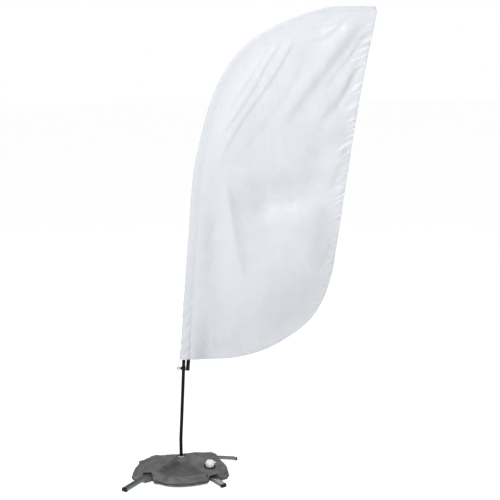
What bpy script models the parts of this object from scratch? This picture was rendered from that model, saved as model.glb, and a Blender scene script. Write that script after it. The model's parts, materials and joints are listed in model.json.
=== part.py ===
"""Feather flag on a curved plug-together pole, standing on a scissor cross base under a water bag.

Metres, +Z up, floor at z = 0. The flag hangs in the XZ plane and flies towards +X. The origin is on
the floor, below the middle of the bounding box. Every shape is drawn about the mast's axis, and one
parent empty, mast_axis, carries that axis to its place at x = MAST_X.
"""

import math

import bmesh
import bpy
import numpy as np
from mathutils import Matrix, Vector

GAP = 0.0003  # air left between two pieces that touch
QUARTER_TURN = math.pi / 2

# Cross base: two bent rectangular tubes, stacked, with the same bend so that one nests on the other.
BAR_WIDTH = 0.040
BAR_DEPTH = 0.020
BAR_WALL = 0.0015
BAR_FLAT_HALF = 0.080  # half of the level stretch at the middle of a bar
BAR_SLOPE = 0.245  # fall per metre of the sloping arms
UPPER_REACH = 0.500  # mast axis to the tip of the upper bar's foot
FOOT_LENGTH = 0.014
FOOT_LIFT = 0.0035  # height of a bar's lower corner above the floor
PIVOT_WASHER_THICK = 0.003
PEG_HOLE_RADIUS = 0.0045
PEG_HOLE_INSET = 0.055
PLUG_LENGTH = 0.025
UPPER_AZIMUTH = math.radians(45)
LOWER_AZIMUTH = math.radians(135)

BEND = math.atan(BAR_SLOPE)
HALF_BEND = math.tan(BEND / 2)
UPPER_END = UPPER_REACH - FOOT_LENGTH
UPPER_BOTTOM = BAR_SLOPE * (UPPER_END - BAR_FLAT_HALF) + FOOT_LIFT
UPPER_TOP = UPPER_BOTTOM + BAR_DEPTH
LOWER_BOTTOM = UPPER_BOTTOM - BAR_DEPTH - PIVOT_WASHER_THICK
LOWER_END = BAR_FLAT_HALF + (LOWER_BOTTOM - FOOT_LIFT) / BAR_SLOPE

# Spindle: a stepped bolt through both bars, which carries two thin ball bearings.
SHANK_RADIUS = 0.006
SHANK_HOLE_RADIUS = 0.0064
SHOULDER_RADIUS = 0.0049
POST_RADIUS = 0.004
BOLT_HEAD_APOTHEM = 0.0095
BOLT_HEAD_HEIGHT = 0.008
BOLT_WASHER_THICK = 0.0016
FLANGE_RADIUS = 0.024
FLANGE_THICK = 0.004
FLANGE_BOTTOM = UPPER_TOP + GAP
FLANGE_TOP = FLANGE_BOTTOM + FLANGE_THICK
ROTOR_BOTTOM = FLANGE_TOP + 0.0008
ROTOR_COLLAR_THICK = 0.003
ROTOR_COLLAR_RADIUS = 0.0145
ROTOR_TOP = ROTOR_BOTTOM + 0.105
ROTOR_RADIUS = 0.0092
ROTOR_BORE = 0.0083
BEARING_WIDTH = 0.004
LOWER_BEARING = ROTOR_BOTTOM + 0.0085  # height of the bearing's middle
UPPER_BEARING = ROTOR_TOP - 0.009
INNER_RING = (0.0043, 0.0050)
OUTER_RING = (0.0071, 0.0080)
BALL_PITCH_RADIUS = 0.00605
BALL_RADIUS = 0.00075
BALL_COUNT = 7
CAGE_HALF_WIDTH = 0.0004
CAGE_HALF_HEIGHT = 0.0003
NUT_APOTHEM = 0.006
NUT_HEIGHT = 0.004

# Pole: four sections along one line, given as (x, z) from the mast axis. Its first step is straight,
# over the spindle, and a smooth curve goes on from there.
POLE_FOOT = ROTOR_BOTTOM + ROTOR_COLLAR_THICK + GAP
POLE_POINTS = (
    (0.0, POLE_FOOT),
    (0.0, 0.245),
    (0.010, 0.420),
    (0.025, 0.700),
    (0.042, 1.040),
    (0.085, 1.567),
    (0.141, 2.084),
    (0.297, 2.589),
    (0.502, 2.838),
    (0.949, 3.034),
    (1.284, 3.042),
)
POLE_STATIONS = 46
BASE_TUBE_RADIUS = 0.011
BASE_TUBE_BORE = 0.0095
SECTION_ENDS = (1.05, 1.98, 2.86)  # distance along the pole to each plug joint
PLUG_DEPTH = 0.080
MID_RADII = (0.0092, 0.0078)
UPPER_RADII = (0.0060, 0.0050)
TIP_RADII = (0.0032, 0.0022)
MID_BORE = 0.0063
UPPER_BORE = 0.0035
FERRULE_LENGTH = 0.018
FERRULE_STEP = 0.0005  # how far a ferrule stands proud of the section it is on
TIP_CAP_RADIUS = 0.0036
TIP_CAP_LENGTH = 0.012

# Flag: sleeve round the pole, flat panel, pocket for the pole's tip.
CLOTH = 0.0006
SLEEVE_BOTTOM = 0.790  # height of the sleeve's open end
SLEEVE_CLEARANCE = 0.0022  # pole surface to the inside of the sleeve
SLEEVE_THICK = 0.0010
POCKET_LENGTH = 0.110
POCKET_RADII = (0.0058, 0.0072)
HOIST_GAP = 0.0008  # sleeve to the panel's edge
PEAK = (1.297, 3.030)
LEADING_EDGE = (PEAK, (1.182, 2.457), (1.079, 1.816), (1.005, 1.361))
BOTTOM_EDGE = (
    (1.005, 1.361),
    (0.948, 1.168),
    (0.868, 1.032),
    (0.727, 0.915),
    (0.560, 0.825),
    (0.400, 0.779),
    (0.230, 0.766),
    (0.052, 0.783),
)

# Tensioner, about the pole's own axis at the collar's height.
COLLAR_HEIGHT = 0.722
COLLAR_BORE = 0.0116
COLLAR_RADIUS = 0.0138
COLLAR_HALF = 0.012
BOSS_REACH = 0.020
BOSS_HALF = (0.006, 0.007)  # across and up the collar
SCREW_RADIUS = 0.003
SCREW_BORE = 0.0034
SCREW_RING_RADIUS = 0.008
SCREW_RING_WIRE = 0.0023
SCREW_RING_CENTRE = -0.0315
HOOK_WIRE = 0.002
HOOK_DROP = -0.010
HOOK_REACH = 0.0400
LIP_HALF = 0.0016
LIP_HEIGHT = 0.009
STRAP_WIDTH = 0.020
STRAP_CENTRE = 0.0265
STRAP_THICK = 0.0012
STRAP_TOP = 0.054  # above the collar's middle
STRAP_SEAM = 0.012  # sewn length at the top of the loop

# Water bag: a flat round bag with four fat lobes between the legs.
BAG_HOLE_RADIUS = 0.030
BAG_LOBE_RADIUS = 0.315
BAG_LEG_RADIUS = 0.298
BAG_RIM = 0.030
BAG_FLOOR = 0.0015
BAG_LEG_CLEARANCE = 0.003
BAG_LEG_THICK = 0.006
TUNNEL_ROOF = 0.024  # half of the flat roof over a leg
TUNNEL_WALL = 0.031  # a leg's middle to the lobe's wall beside it
BAG_RINGS = (BAG_HOLE_RADIUS, 0.055, 0.078, 0.130, 0.200, 0.255)
BAG_LOBE_TOPS = (0.1310, 0.1300, 0.1200, 0.1040, 0.0900, 0.0800)

# Filler, about its own tilted axis on top of the bag.
NECK_BASE = (0.192, -0.140, 0.100)
NECK_AXIS = (0.10, -0.20, 1.0)
NECK_RADIUS = 0.021
NECK_BORE = 0.017
NECK_HEIGHT = 0.022
NECK_FLANGE_RADIUS = 0.027
NECK_FLANGE_THICK = 0.002
CAP_BOTTOM = 0.007
CAP_TOP = 0.036
CAP_RADIUS = 0.027
CAP_BORE = 0.0218
GROOVE = (0.0180, 0.0225)
GROOVE_RADIUS = 0.0240
TETHER_RADII = (0.0244, 0.0290)
EYE_CENTRE = 0.0350
EYE_RADII = (0.0045, 0.0085)
EYE_AZIMUTH = math.radians(35)
GASKET_THICK = 0.002

# The mast stands off the origin, so that the origin is below the middle of the bounding box.
BASE_CORNER = (UPPER_REACH + BAR_WIDTH / 2) * math.cos(UPPER_AZIMUTH)
MAST_X = -(PEAK[0] - BASE_CORNER) / 2


# --- scene, materials and objects -------------------------------------------------------------


def clear_scene():
    for item in list(bpy.data.objects):
        bpy.data.objects.remove(item)


def material(name, colour, roughness, metallic=0.0):
    made = bpy.data.materials.new(name)
    made.use_nodes = True
    shader = made.node_tree.nodes["Principled BSDF"]
    shader.inputs["Base Color"].default_value = (*colour, 1.0)
    shader.inputs["Roughness"].default_value = roughness
    shader.inputs["Metallic"].default_value = metallic
    return made


def empty(name, parent=None, place=(0, 0, 0), axis=(0, 0, 1)):
    made = bpy.data.objects.new(name, None)
    made.parent = parent
    made.location = place
    made.rotation_mode = "QUATERNION"
    made.rotation_quaternion = Vector((0, 0, 1)).rotation_difference(Vector(axis))
    bpy.context.scene.collection.objects.link(made)
    return made


def finish(name, mesh_builder, finish_material, parent, azimuth=0.0):
    """Closes the mesh, shades it smooth with sharp corners, and hangs it under its parent."""
    bmesh.ops.recalc_face_normals(mesh_builder, faces=mesh_builder.faces)
    mesh = bpy.data.meshes.new(name)
    mesh_builder.to_mesh(mesh)
    mesh_builder.free()
    mesh.shade_smooth()
    mesh.set_sharp_from_angle(angle=math.radians(38))
    if finish_material is not None:
        mesh.materials.append(finish_material)
    made = bpy.data.objects.new(name, mesh)
    made.parent = parent
    made.rotation_euler = (0, 0, azimuth)
    bpy.context.scene.collection.objects.link(made)
    return made


def boolean(target, name, mesh_builder, operation):
    """Cuts a hidden tool shape out of target, or joins it to target."""
    tool = finish(name, mesh_builder, None, target.parent)
    tool.rotation_euler = target.rotation_euler
    tool.hide_render = True
    tool.display_type = "WIRE"
    cut = target.modifiers.new(name, "BOOLEAN")
    cut.operation = operation
    cut.solver = "EXACT"
    cut.object = tool
    return target


# --- shape makers -----------------------------------------------------------------------------


def skin(rings, closed=False):
    """A surface through rings of points. A ring of one point is the middle of a round end."""
    built = bmesh.new()
    rows = [[built.verts.new(point) for point in ring] for ring in rings]
    pairs = list(zip(rows, rows[1:]))
    if closed:
        pairs.append((rows[-1], rows[0]))
    for first, second in pairs:
        count = max(len(first), len(second))
        for i in range(count):
            j = (i + 1) % count
            corners = [first[i % len(first)], first[j % len(first)]]
            corners += [second[j % len(second)], second[i % len(second)]]
            face = list(dict.fromkeys(corners))
            if len(face) > 2:
                built.faces.new(face)
    return built


def turned(profile, sides=24, closed=False):
    """A piece turned about Z from (radius, height) points. A third value makes that ring a hexagon."""
    rings = []
    for point in profile:
        radius, height = point[0], point[1]
        if radius == 0:
            rings.append([(0, 0, height)])
            continue
        ring = []
        for i in range(sides):
            angle = 2 * math.pi * i / sides
            reach = radius
            if len(point) > 2:
                off_corner = (angle + math.pi / 6) % (math.pi / 3) - math.pi / 6
                reach = radius / math.cos(math.pi / 6 - abs(off_corner))
            ring.append((reach * math.cos(angle), reach * math.sin(angle), height))
        rings.append(ring)
    return skin(rings, closed)


def tube(inner, outer, bottom, top, sides=24):
    """A straight open tube about Z."""
    corners = ((inner, bottom), (outer, bottom), (outer, top), (inner, top))
    return turned(corners, sides, closed=True)


def pin(radius, bottom, top, sides=16):
    """A solid round bar about Z."""
    return turned(((0, bottom), (radius, bottom), (radius, top), (0, top)), sides)


def box(low, high):
    x0, y0, z0 = low
    x1, y1, z1 = high
    outline = ((x0, y0), (x1, y0), (x1, y1), (x0, y1))
    return slab([[(x, y, z) for x, y in outline] for z in (z0, z1)])


def slab(rings):
    """A solid through rings of the same number of corners, with a flat face at each end."""
    built = skin(rings)
    built.verts.ensure_lookup_table()
    count = len(rings[0])
    built.faces.new(built.verts[:count])
    built.faces.new(built.verts[-count:])
    return built


def place(built, matrix):
    bmesh.ops.transform(built, matrix=matrix, verts=built.verts)
    return built


def smooth_line(points, steps):
    """Points along a centripetal Catmull-Rom curve through the given ones, at even distances."""
    given = [np.array(p, float) for p in points]
    padded = [2 * given[0] - given[1], *given, 2 * given[-1] - given[-2]]
    fine = []
    for p0, p1, p2, p3 in zip(padded, padded[1:], padded[2:], padded[3:]):
        t1 = math.sqrt(np.linalg.norm(p1 - p0))
        t2 = t1 + math.sqrt(np.linalg.norm(p2 - p1))
        t3 = t2 + math.sqrt(np.linalg.norm(p3 - p2))
        for t in np.linspace(t1, t2, 40, endpoint=False):
            a1 = p0 * (t1 - t) / t1 + p1 * t / t1
            a2 = p1 * (t2 - t) / (t2 - t1) + p2 * (t - t1) / (t2 - t1)
            a3 = p2 * (t3 - t) / (t3 - t2) + p3 * (t - t2) / (t3 - t2)
            b1 = a1 * (t2 - t) / t2 + a2 * t / t2
            b2 = a2 * (t3 - t) / (t3 - t1) + a3 * (t - t1) / (t3 - t1)
            fine.append(b1 * (t2 - t) / (t2 - t1) + b2 * (t - t1) / (t2 - t1))
    fine.append(given[-1])
    fine = np.array(fine)
    run = np.concatenate([[0], np.cumsum(np.linalg.norm(np.diff(fine, axis=0), axis=1))])
    even = np.linspace(0, run[-1], steps)
    return np.column_stack([np.interp(even, run, fine[:, i]) for i in range(fine.shape[1])])


class PoleLine:
    """The pole's centre line as straight steps, which every piece on the pole shares."""

    def __init__(self):
        straight_foot, *curve = POLE_POINTS
        self.points = np.vstack([straight_foot, smooth_line(curve, POLE_STATIONS)])
        steps = np.diff(self.points, axis=0)
        self.run = np.concatenate([[0], np.cumsum(np.linalg.norm(steps, axis=1))])
        self.length = self.run[-1]
        self.directions = steps / np.linalg.norm(steps, axis=1)[:, None]

    def at(self, distance):
        """Centre point, and the direction of the ring's plane normal, that far along."""
        step = int(np.searchsorted(self.run, distance + 1e-9)) - 1
        step = min(max(step, 0), len(self.directions) - 1)
        ahead = self.directions[step]
        point = self.points[step] + ahead * (distance - self.run[step])
        return point, ahead

    def ring(self, distance, radius, sides):
        """Corners of a round section, mitred where it falls on a bend between two steps."""
        point, ahead = self.at(distance)
        stretch = 1.0
        near = int(np.argmin(np.abs(self.run - distance)))
        if abs(self.run[near] - distance) < 1e-6 and 0 < near < len(self.run) - 1:
            before = self.directions[near - 1]
            ahead = before + self.directions[near]
            ahead = ahead / np.linalg.norm(ahead)
            stretch = 1 / float(ahead @ before)
        across = np.array([ahead[1], -ahead[0]]) * stretch
        corners = []
        for i in range(sides):
            angle = 2 * math.pi * (i + 0.5) / sides
            x, z = point + across * radius * math.cos(angle)
            corners.append((x, radius * math.sin(angle), z))
        return corners

    def sweep(self, profile, sides, closed=False):
        """A piece turned about the pole's line from (distance along, radius) points."""
        points = list(profile)
        if closed:
            points.append(points[0])
        dense = [points[0]]
        for (s0, r0), (s1, r1) in zip(points, points[1:]):
            between = [s for s in self.run if min(s0, s1) + 1e-4 < s < max(s0, s1) - 1e-4]
            if s1 < s0:
                between.reverse()
            dense += [(s, r0 + (r1 - r0) * (s - s0) / (s1 - s0)) for s in between]
            dense.append((s1, r1))
        if closed:
            dense.pop()
        rings = []
        for distance, radius in dense:
            if radius == 0:
                x, z = self.at(distance)[0]
                rings.append([(x, 0, z)])
            else:
                rings.append(self.ring(distance, radius, sides))
        return skin(rings, closed)

    def distance_at_height(self, height):
        return float(np.interp(height, self.points[:, 1], self.run))

    def beside(self, distance, offset):
        """The point that far along, moved towards the flag's side by offset."""
        point, ahead = self.at(distance)
        return point + np.array([ahead[1], -ahead[0]]) * offset


# --- cross base -------------------------------------------------------------------------------


def bar_line(bottom, end, offset):
    """Side view (reach, height) of a line that far above the bar's lower face."""
    knee = BAR_FLAT_HALF + offset * HALF_BEND
    foot = end + offset * math.sin(BEND)
    foot_height = FOOT_LIFT + offset * math.cos(BEND)
    level = bottom + offset
    return ((-foot, foot_height), (-knee, level), (knee, level), (foot, foot_height))


def bar_top(bottom, reach):
    """Height of a bar's upper face at a distance from the mast's axis."""
    knee = BAR_FLAT_HALF + BAR_DEPTH * HALF_BEND
    return bottom + BAR_DEPTH - BAR_SLOPE * max(0.0, reach - knee)


def leg_bar(name, bottom, end, azimuth, finish_material, parent):
    rings = []
    for half, low, high in (
        (BAR_WIDTH / 2, 0.0, BAR_DEPTH),
        (BAR_WIDTH / 2 - BAR_WALL, BAR_WALL, BAR_DEPTH - BAR_WALL),
    ):
        lower, upper = bar_line(bottom, end, low), bar_line(bottom, end, high)
        rings.append(
            [
                [(x0, -half, z0), (x0, half, z0), (x1, half, z1), (x1, -half, z1)]
                for (x0, z0), (x1, z1) in zip(lower, upper)
            ]
        )
    outside, inside = rings
    shell = skin([*outside, *reversed(inside)], closed=True)
    bar = finish(name, shell, finish_material, parent, azimuth)
    for label, reach, radius in (
        ("pivot", 0.0, SHANK_HOLE_RADIUS),
        ("peg_a", end - PEG_HOLE_INSET, PEG_HOLE_RADIUS),
        ("peg_b", PEG_HOLE_INSET - end, PEG_HOLE_RADIUS),
    ):
        drill = pin(radius, -0.01, UPPER_TOP + 0.01)
        place(drill, Matrix.Translation((reach, 0, 0)))
        boolean(bar, f"{name}_{label}_drill", drill, "DIFFERENCE")
    return bar


def foot_cap(name, end, azimuth, finish_material, parent):
    """A moulded end plug. Its head closes the bar's end and stands flat on the floor."""
    along = Vector((math.cos(BEND), 0, -math.sin(BEND)))
    up = Vector((math.sin(BEND), 0, math.cos(BEND)))
    corner = Vector((end, 0, FOOT_LIFT))
    low = corner + along * GAP
    high = low + up * BAR_DEPTH
    reach = end + FOOT_LENGTH
    outline = (
        (low.x, 0.0),
        (low.x, low.z),
        (high.x, high.z),
        (reach, high.z - BAR_SLOPE * (reach - high.x)),
        (reach, 0.0),
    )
    half = BAR_WIDTH / 2
    head = slab([[(x, y, z) for x, z in outline] for y in (-half, half)])
    cap = finish(name, head, finish_material, parent, azimuth)
    inset = BAR_WALL + GAP
    plug_half = half - inset
    rings = []
    for distance in (-PLUG_LENGTH, 0.004):
        bottom = corner + along * distance + up * inset
        top = corner + along * distance + up * (BAR_DEPTH - inset)
        rings.append(
            [
                (bottom.x, -plug_half, bottom.z),
                (bottom.x, plug_half, bottom.z),
                (top.x, plug_half, top.z),
                (top.x, -plug_half, top.z),
            ]
        )
    return boolean(cap, f"{name}_plug", slab(rings), "UNION")


def cross_base(paints, parent):
    steel, plastic = paints["zinc_steel"], paints["black_plastic"]
    leg_bar("lower_leg_bar", LOWER_BOTTOM, LOWER_END, LOWER_AZIMUTH, steel, parent)
    leg_bar("upper_leg_bar", UPPER_BOTTOM, UPPER_END, UPPER_AZIMUTH, steel, parent)
    for name, end, azimuth in (
        ("upper_cap_front_left", UPPER_END, UPPER_AZIMUTH + math.pi),
        ("upper_cap_back_right", UPPER_END, UPPER_AZIMUTH),
        ("lower_cap_back_left", LOWER_END, LOWER_AZIMUTH),
        ("lower_cap_front_right", LOWER_END, LOWER_AZIMUTH + math.pi),
    ):
        foot_cap(name, end, azimuth, plastic, parent)
    top = UPPER_BOTTOM - GAP
    washer = tube(SHANK_HOLE_RADIUS, 0.018, top - PIVOT_WASHER_THICK + 2 * GAP, top)
    finish("pivot_washer", washer, paints["nylon"], parent)


# --- spindle ----------------------------------------------------------------------------------


def spindle(paints, parent):
    steel = paints["bearing_steel"]
    washer_top = LOWER_BOTTOM - GAP
    head_top = washer_top - BOLT_WASHER_THICK - GAP
    head_bottom = head_top - BOLT_HEAD_HEIGHT
    step = LOWER_BEARING - BEARING_WIDTH / 2 - GAP
    profile = (
        (0, head_bottom),
        (BOLT_HEAD_APOTHEM * 0.9, head_bottom),
        (BOLT_HEAD_APOTHEM, head_bottom + 0.001, "hexagon"),
        (BOLT_HEAD_APOTHEM, head_top, "hexagon"),
        (SHANK_RADIUS, head_top),
        (SHANK_RADIUS, FLANGE_TOP),
        (SHOULDER_RADIUS, FLANGE_TOP),
        (SHOULDER_RADIUS, step),
        (POST_RADIUS, step),
        (POST_RADIUS, ROTOR_TOP - 0.001),
        (0, ROTOR_TOP - 0.001),
    )
    finish("spindle_bolt", turned(profile), steel, parent)
    washer = tube(SHANK_HOLE_RADIUS, 0.012, washer_top - BOLT_WASHER_THICK, washer_top)
    finish("bolt_washer", washer, paints["zinc_steel"], parent)
    flange = (
        (SHANK_HOLE_RADIUS, FLANGE_BOTTOM),
        (FLANGE_RADIUS, FLANGE_BOTTOM),
        (FLANGE_RADIUS, FLANGE_TOP - 0.001),
        (FLANGE_RADIUS - 0.001, FLANGE_TOP),
        (SHANK_HOLE_RADIUS, FLANGE_TOP),
    )
    finish("spindle_flange", turned(flange, 32, closed=True), paints["chrome"], parent)
    collar_top = ROTOR_BOTTOM + ROTOR_COLLAR_THICK
    rotor = (
        (ROTOR_BORE, ROTOR_BOTTOM),
        (ROTOR_COLLAR_RADIUS, ROTOR_BOTTOM),
        (ROTOR_COLLAR_RADIUS, collar_top),
        (ROTOR_RADIUS, collar_top),
        (ROTOR_RADIUS, ROTOR_TOP),
        (ROTOR_BORE, ROTOR_TOP),
    )
    finish("rotor_sleeve", turned(rotor, 24, closed=True), paints["chrome"], parent)
    half = BEARING_WIDTH / 2
    for label, middle in (("lower", LOWER_BEARING), ("upper", UPPER_BEARING)):
        for ring, (inner, outer) in (("inner", INNER_RING), ("outer", OUTER_RING)):
            race = tube(inner, outer, middle - half, middle + half)
            finish(f"{label}_bearing_{ring}", race, steel, parent)
        ball_cage(f"{label}_ball_cage", middle, steel, parent)
    spacer_bottom = LOWER_BEARING + half + GAP
    spacer = tube(*INNER_RING, spacer_bottom, UPPER_BEARING - half - GAP)
    finish("bearing_spacer", spacer, paints["zinc_steel"], parent)
    nut_bottom = UPPER_BEARING + half + GAP
    nut_top = nut_bottom + NUT_HEIGHT
    nut = (
        (POST_RADIUS + GAP, nut_bottom),
        (NUT_APOTHEM, nut_bottom, "hexagon"),
        (NUT_APOTHEM, nut_top, "hexagon"),
        (POST_RADIUS + GAP, nut_top),
    )
    finish("spindle_nut", turned(nut, 24, closed=True), steel, parent)


def ball_cage(name, middle, finish_material, parent):
    """A bearing's balls, held in their ring."""
    inner, outer = BALL_PITCH_RADIUS - CAGE_HALF_WIDTH, BALL_PITCH_RADIUS + CAGE_HALF_WIDTH
    ring = tube(inner, outer, middle - CAGE_HALF_HEIGHT, middle + CAGE_HALF_HEIGHT, 21)
    cage = finish(name, ring, finish_material, parent)
    balls = bmesh.new()
    for i in range(BALL_COUNT):
        angle = 2 * math.pi * i / BALL_COUNT
        at = Vector((math.cos(angle), math.sin(angle), 0)) * BALL_PITCH_RADIUS
        at.z = middle
        spot = Matrix.Translation(at)
        bmesh.ops.create_uvsphere(balls, u_segments=6, v_segments=5, radius=BALL_RADIUS, matrix=spot)
    return boolean(cage, f"{name}_balls", balls, "UNION")


# --- pole -------------------------------------------------------------------------------------


def plug_section(line, start, end, radii, bore, sides):
    """A tapered section whose lower end plugs into the one below, with a socket at its top."""
    lower, upper = radii
    profile = [(start, 0), (start, lower), (start + PLUG_DEPTH, lower), (end, upper)]
    if bore:
        socket_floor = end - PLUG_DEPTH - 0.004
        profile += [(end, bore), (socket_floor, bore), (socket_floor, 0)]
    else:
        profile.append((end, 0))
    return line.sweep(profile, sides)


def pole(line, paints, parent):
    black, fibre = paints["black_paint"], paints["fibreglass"]
    first, second, third = SECTION_ENDS
    wall = (BASE_TUBE_BORE, BASE_TUBE_RADIUS)
    base = ((0, wall[0]), (0, wall[1]), (first, wall[1]), (first, wall[0]))
    finish("pole_base_tube", line.sweep(base, 16, closed=True), black, parent)
    tip_end = line.length - 0.006
    for name, start, end, radii, bore in (
        ("pole_mid_section", first, second, MID_RADII, MID_BORE),
        ("pole_upper_section", second, third, UPPER_RADII, UPPER_BORE),
        ("pole_tip_section", third, tip_end, TIP_RADII, None),
    ):
        section = plug_section(line, start - PLUG_DEPTH, end, radii, bore, 12)
        finish(name, section, fibre, parent)
    for name, joint, inner, outer in (
        ("lower_ferrule", first, MID_RADII[0] + GAP, BASE_TUBE_RADIUS),
        ("middle_ferrule", second, UPPER_RADII[0] + GAP, MID_RADII[1] + FERRULE_STEP),
        ("upper_ferrule", third, TIP_RADII[0] + GAP, UPPER_RADII[1] + FERRULE_STEP),
    ):
        low, high = joint + GAP, joint + FERRULE_LENGTH
        ring = ((low, inner), (low, outer), (high, outer), (high, inner))
        finish(name, line.sweep(ring, 12, closed=True), paints["zinc_steel"], parent)
    cap = (
        (tip_end - TIP_CAP_LENGTH, TIP_RADII[1] + 0.0004),
        (tip_end - TIP_CAP_LENGTH, TIP_CAP_RADIUS),
        (tip_end + 0.003, TIP_CAP_RADIUS),
        (tip_end + 0.005, TIP_CAP_RADIUS * 0.6),
        (tip_end + 0.005, 0),
    )
    seat = ((tip_end + GAP, 0), (tip_end + GAP, TIP_RADII[1] + 0.0004))
    finish("pole_tip_cap", line.sweep((*seat, *cap), 12), paints["black_plastic"], parent)


# --- flag -------------------------------------------------------------------------------------


def pole_radius(line, distance):
    """The thickest that the pole or its ferrule is there."""
    first, second, third = SECTION_ENDS
    knots = (0, first + 0.02, first + 0.05, second + 0.02, second + 0.05, third + 0.02, third + 0.05)
    radii = (0.011, 0.011, 0.0092, 0.0083, 0.0060, 0.0055, 0.0036)
    return float(np.interp(distance, (*knots, line.length), (*radii, 0.0036)))


def flag(line, paints, parent):
    cloth = paints["white_polyester"]
    start = line.distance_at_height(SLEEVE_BOTTOM)
    pocket_start = line.length - POCKET_LENGTH
    stops = [start, *[s for s in line.run if start < s < pocket_start - GAP], pocket_start - GAP]
    inner = [(s, pole_radius(line, s) + SLEEVE_CLEARANCE) for s in stops]
    outer = [(s, radius + SLEEVE_THICK) for s, radius in inner]
    sleeve = line.sweep([*outer, *reversed(inner)], 8, closed=True)
    finish("flag_sleeve", sleeve, cloth, parent)

    inside, outside = POCKET_RADII
    end = line.length + 0.003
    pocket = (
        (end - 0.002, 0),
        (end - 0.002, inside),
        (pocket_start, inside),
        (pocket_start, outside),
        (end, outside),
        (end, 0),
    )
    finish("tip_pocket", line.sweep(pocket, 12), paints["white_webbing"], parent)

    pocket_stops = [s for s in line.run if s > pocket_start + GAP]
    hoist = [line.beside(s, radius + HOIST_GAP) for s, radius in outer]
    hoist += [line.beside(s, outside + HOIST_GAP) for s in (pocket_start + GAP, *pocket_stops)]
    fly = smooth_line(LEADING_EDGE, 14)
    foot = smooth_line(BOTTOM_EDGE, 30)
    outline = [*hoist, *fly, *foot[1:]]
    half = CLOTH / 2
    panel = slab([[(x, y, z) for x, z in outline] for y in (-half, half)])
    finish("flag_panel", panel, cloth, parent)


# --- tensioner --------------------------------------------------------------------------------


def tensioner(line, paints, mast_axis):
    distance = line.distance_at_height(COLLAR_HEIGHT)
    (x, z), (tilt_x, tilt_z) = line.at(distance)
    home = empty("collar_axis", mast_axis, (x, 0, z), (tilt_x, 0, tilt_z))
    band = tube(COLLAR_BORE, COLLAR_RADIUS, -COLLAR_HALF, COLLAR_HALF, 20)
    collar = finish("tension_collar", band, paints["black_plastic"], home)
    turn = Matrix.Rotation(QUARTER_TURN, 4, "Y")
    across, up = BOSS_HALF
    boss = box((-BOSS_REACH, -across, -up), (-COLLAR_BORE - 0.001, across, up))
    boolean(collar, "collar_boss", boss, "UNION")
    bar = pin(HOOK_WIRE, COLLAR_BORE + 0.0008, HOOK_REACH, 10)
    place(bar, Matrix.Translation((0, 0, HOOK_DROP)) @ turn)
    boolean(collar, "collar_hook_bar", bar, "UNION")
    lip_start, lip_end = HOOK_REACH - 0.0025, HOOK_REACH + 0.0008
    lip = box((lip_start, -LIP_HALF, HOOK_DROP), (lip_end, LIP_HALF, HOOK_DROP + LIP_HEIGHT))
    boolean(collar, "collar_hook_lip", lip, "UNION")
    drill = pin(SCREW_BORE, -0.03, -0.005)
    boolean(collar, "collar_drill", place(drill, turn), "DIFFERENCE")

    screw_axis = empty("screw_axis", home)
    shank_tip = -BASE_TUBE_RADIUS - 2 * GAP
    shank = pin(SCREW_RADIUS, SCREW_RING_CENTRE + SCREW_RING_RADIUS, shank_tip, 12)
    screw = finish("thumb_screw", place(shank, turn), paints["zinc_steel"], screw_axis)
    ring = turned(
        [
            (
                SCREW_RING_RADIUS + SCREW_RING_WIRE * math.cos(i * math.pi / 4),
                SCREW_RING_WIRE * math.sin(i * math.pi / 4),
            )
            for i in range(8)
        ],
        20,
        closed=True,
    )
    place(ring, Matrix.Translation((SCREW_RING_CENTRE, 0, 0)) @ Matrix.Rotation(QUARTER_TURN, 4, "X"))
    boolean(screw, "screw_ring", ring, "UNION")

    inner, outer = HOOK_WIRE + 0.0006, HOOK_WIRE + 0.0006 + STRAP_THICK
    rings = []
    for side in (-1, 1):
        x = STRAP_CENTRE + side * STRAP_WIDTH / 2
        rings.append([[(x, y, z) for y, z in strap_loop(reach)] for reach in (outer, inner)])
    (left_out, left_in), (right_out, right_in) = rings
    strap = skin([left_out, right_out, right_in, left_in], closed=True)
    finish("tension_strap", strap, paints["black_webbing"], home)


def strap_loop(reach):
    """Side view of the webbing loop: round the hook's bar below, drawn together at its sewn top."""
    angles = np.linspace(0, math.pi, 7)
    below = [(-reach * math.cos(a), HOOK_DROP - reach * math.sin(a)) for a in angles]
    seam = (reach * 0.75, STRAP_TOP - STRAP_SEAM)
    closing = (reach * 0.5, STRAP_TOP - (HOOK_WIRE + 0.0006 + STRAP_THICK - reach))
    return [*below, seam, closing, (-closing[0], closing[1]), (-seam[0], seam[1])]


# --- water bag and filler -------------------------------------------------------------------------


def bag_columns(reach):
    """Directions of the bag's columns at a distance from the mast's axis, with what is under each.

    Each entry is (azimuth, height of the leg below or None, share of the way to the lobe's middle).
    """
    edge = min(math.asin(min(1.0, TUNNEL_ROOF / reach)), math.radians(26))
    side = min(math.asin(min(1.0, TUNNEL_WALL / reach)), math.radians(34))
    columns = []
    for quarter in range(4):
        azimuth = UPPER_AZIMUTH + quarter * QUARTER_TURN
        next_azimuth = azimuth + QUARTER_TURN
        top = bar_top((UPPER_BOTTOM, LOWER_BOTTOM)[quarter % 2], reach)
        next_top = bar_top((LOWER_BOTTOM, UPPER_BOTTOM)[quarter % 2], reach)
        third = (QUARTER_TURN / 2 - side) / 2
        columns += [
            (azimuth, top, 0.0),
            (azimuth + edge, top, 0.2),
            (azimuth + side, None, 0.4),
            (azimuth + side + third, None, 0.8),
            (azimuth + QUARTER_TURN / 2, None, 1.0),
            (next_azimuth - side - third, None, 0.8),
            (next_azimuth - side, None, 0.4),
            (next_azimuth - edge, next_top, 0.2),
        ]
    return columns


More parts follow.
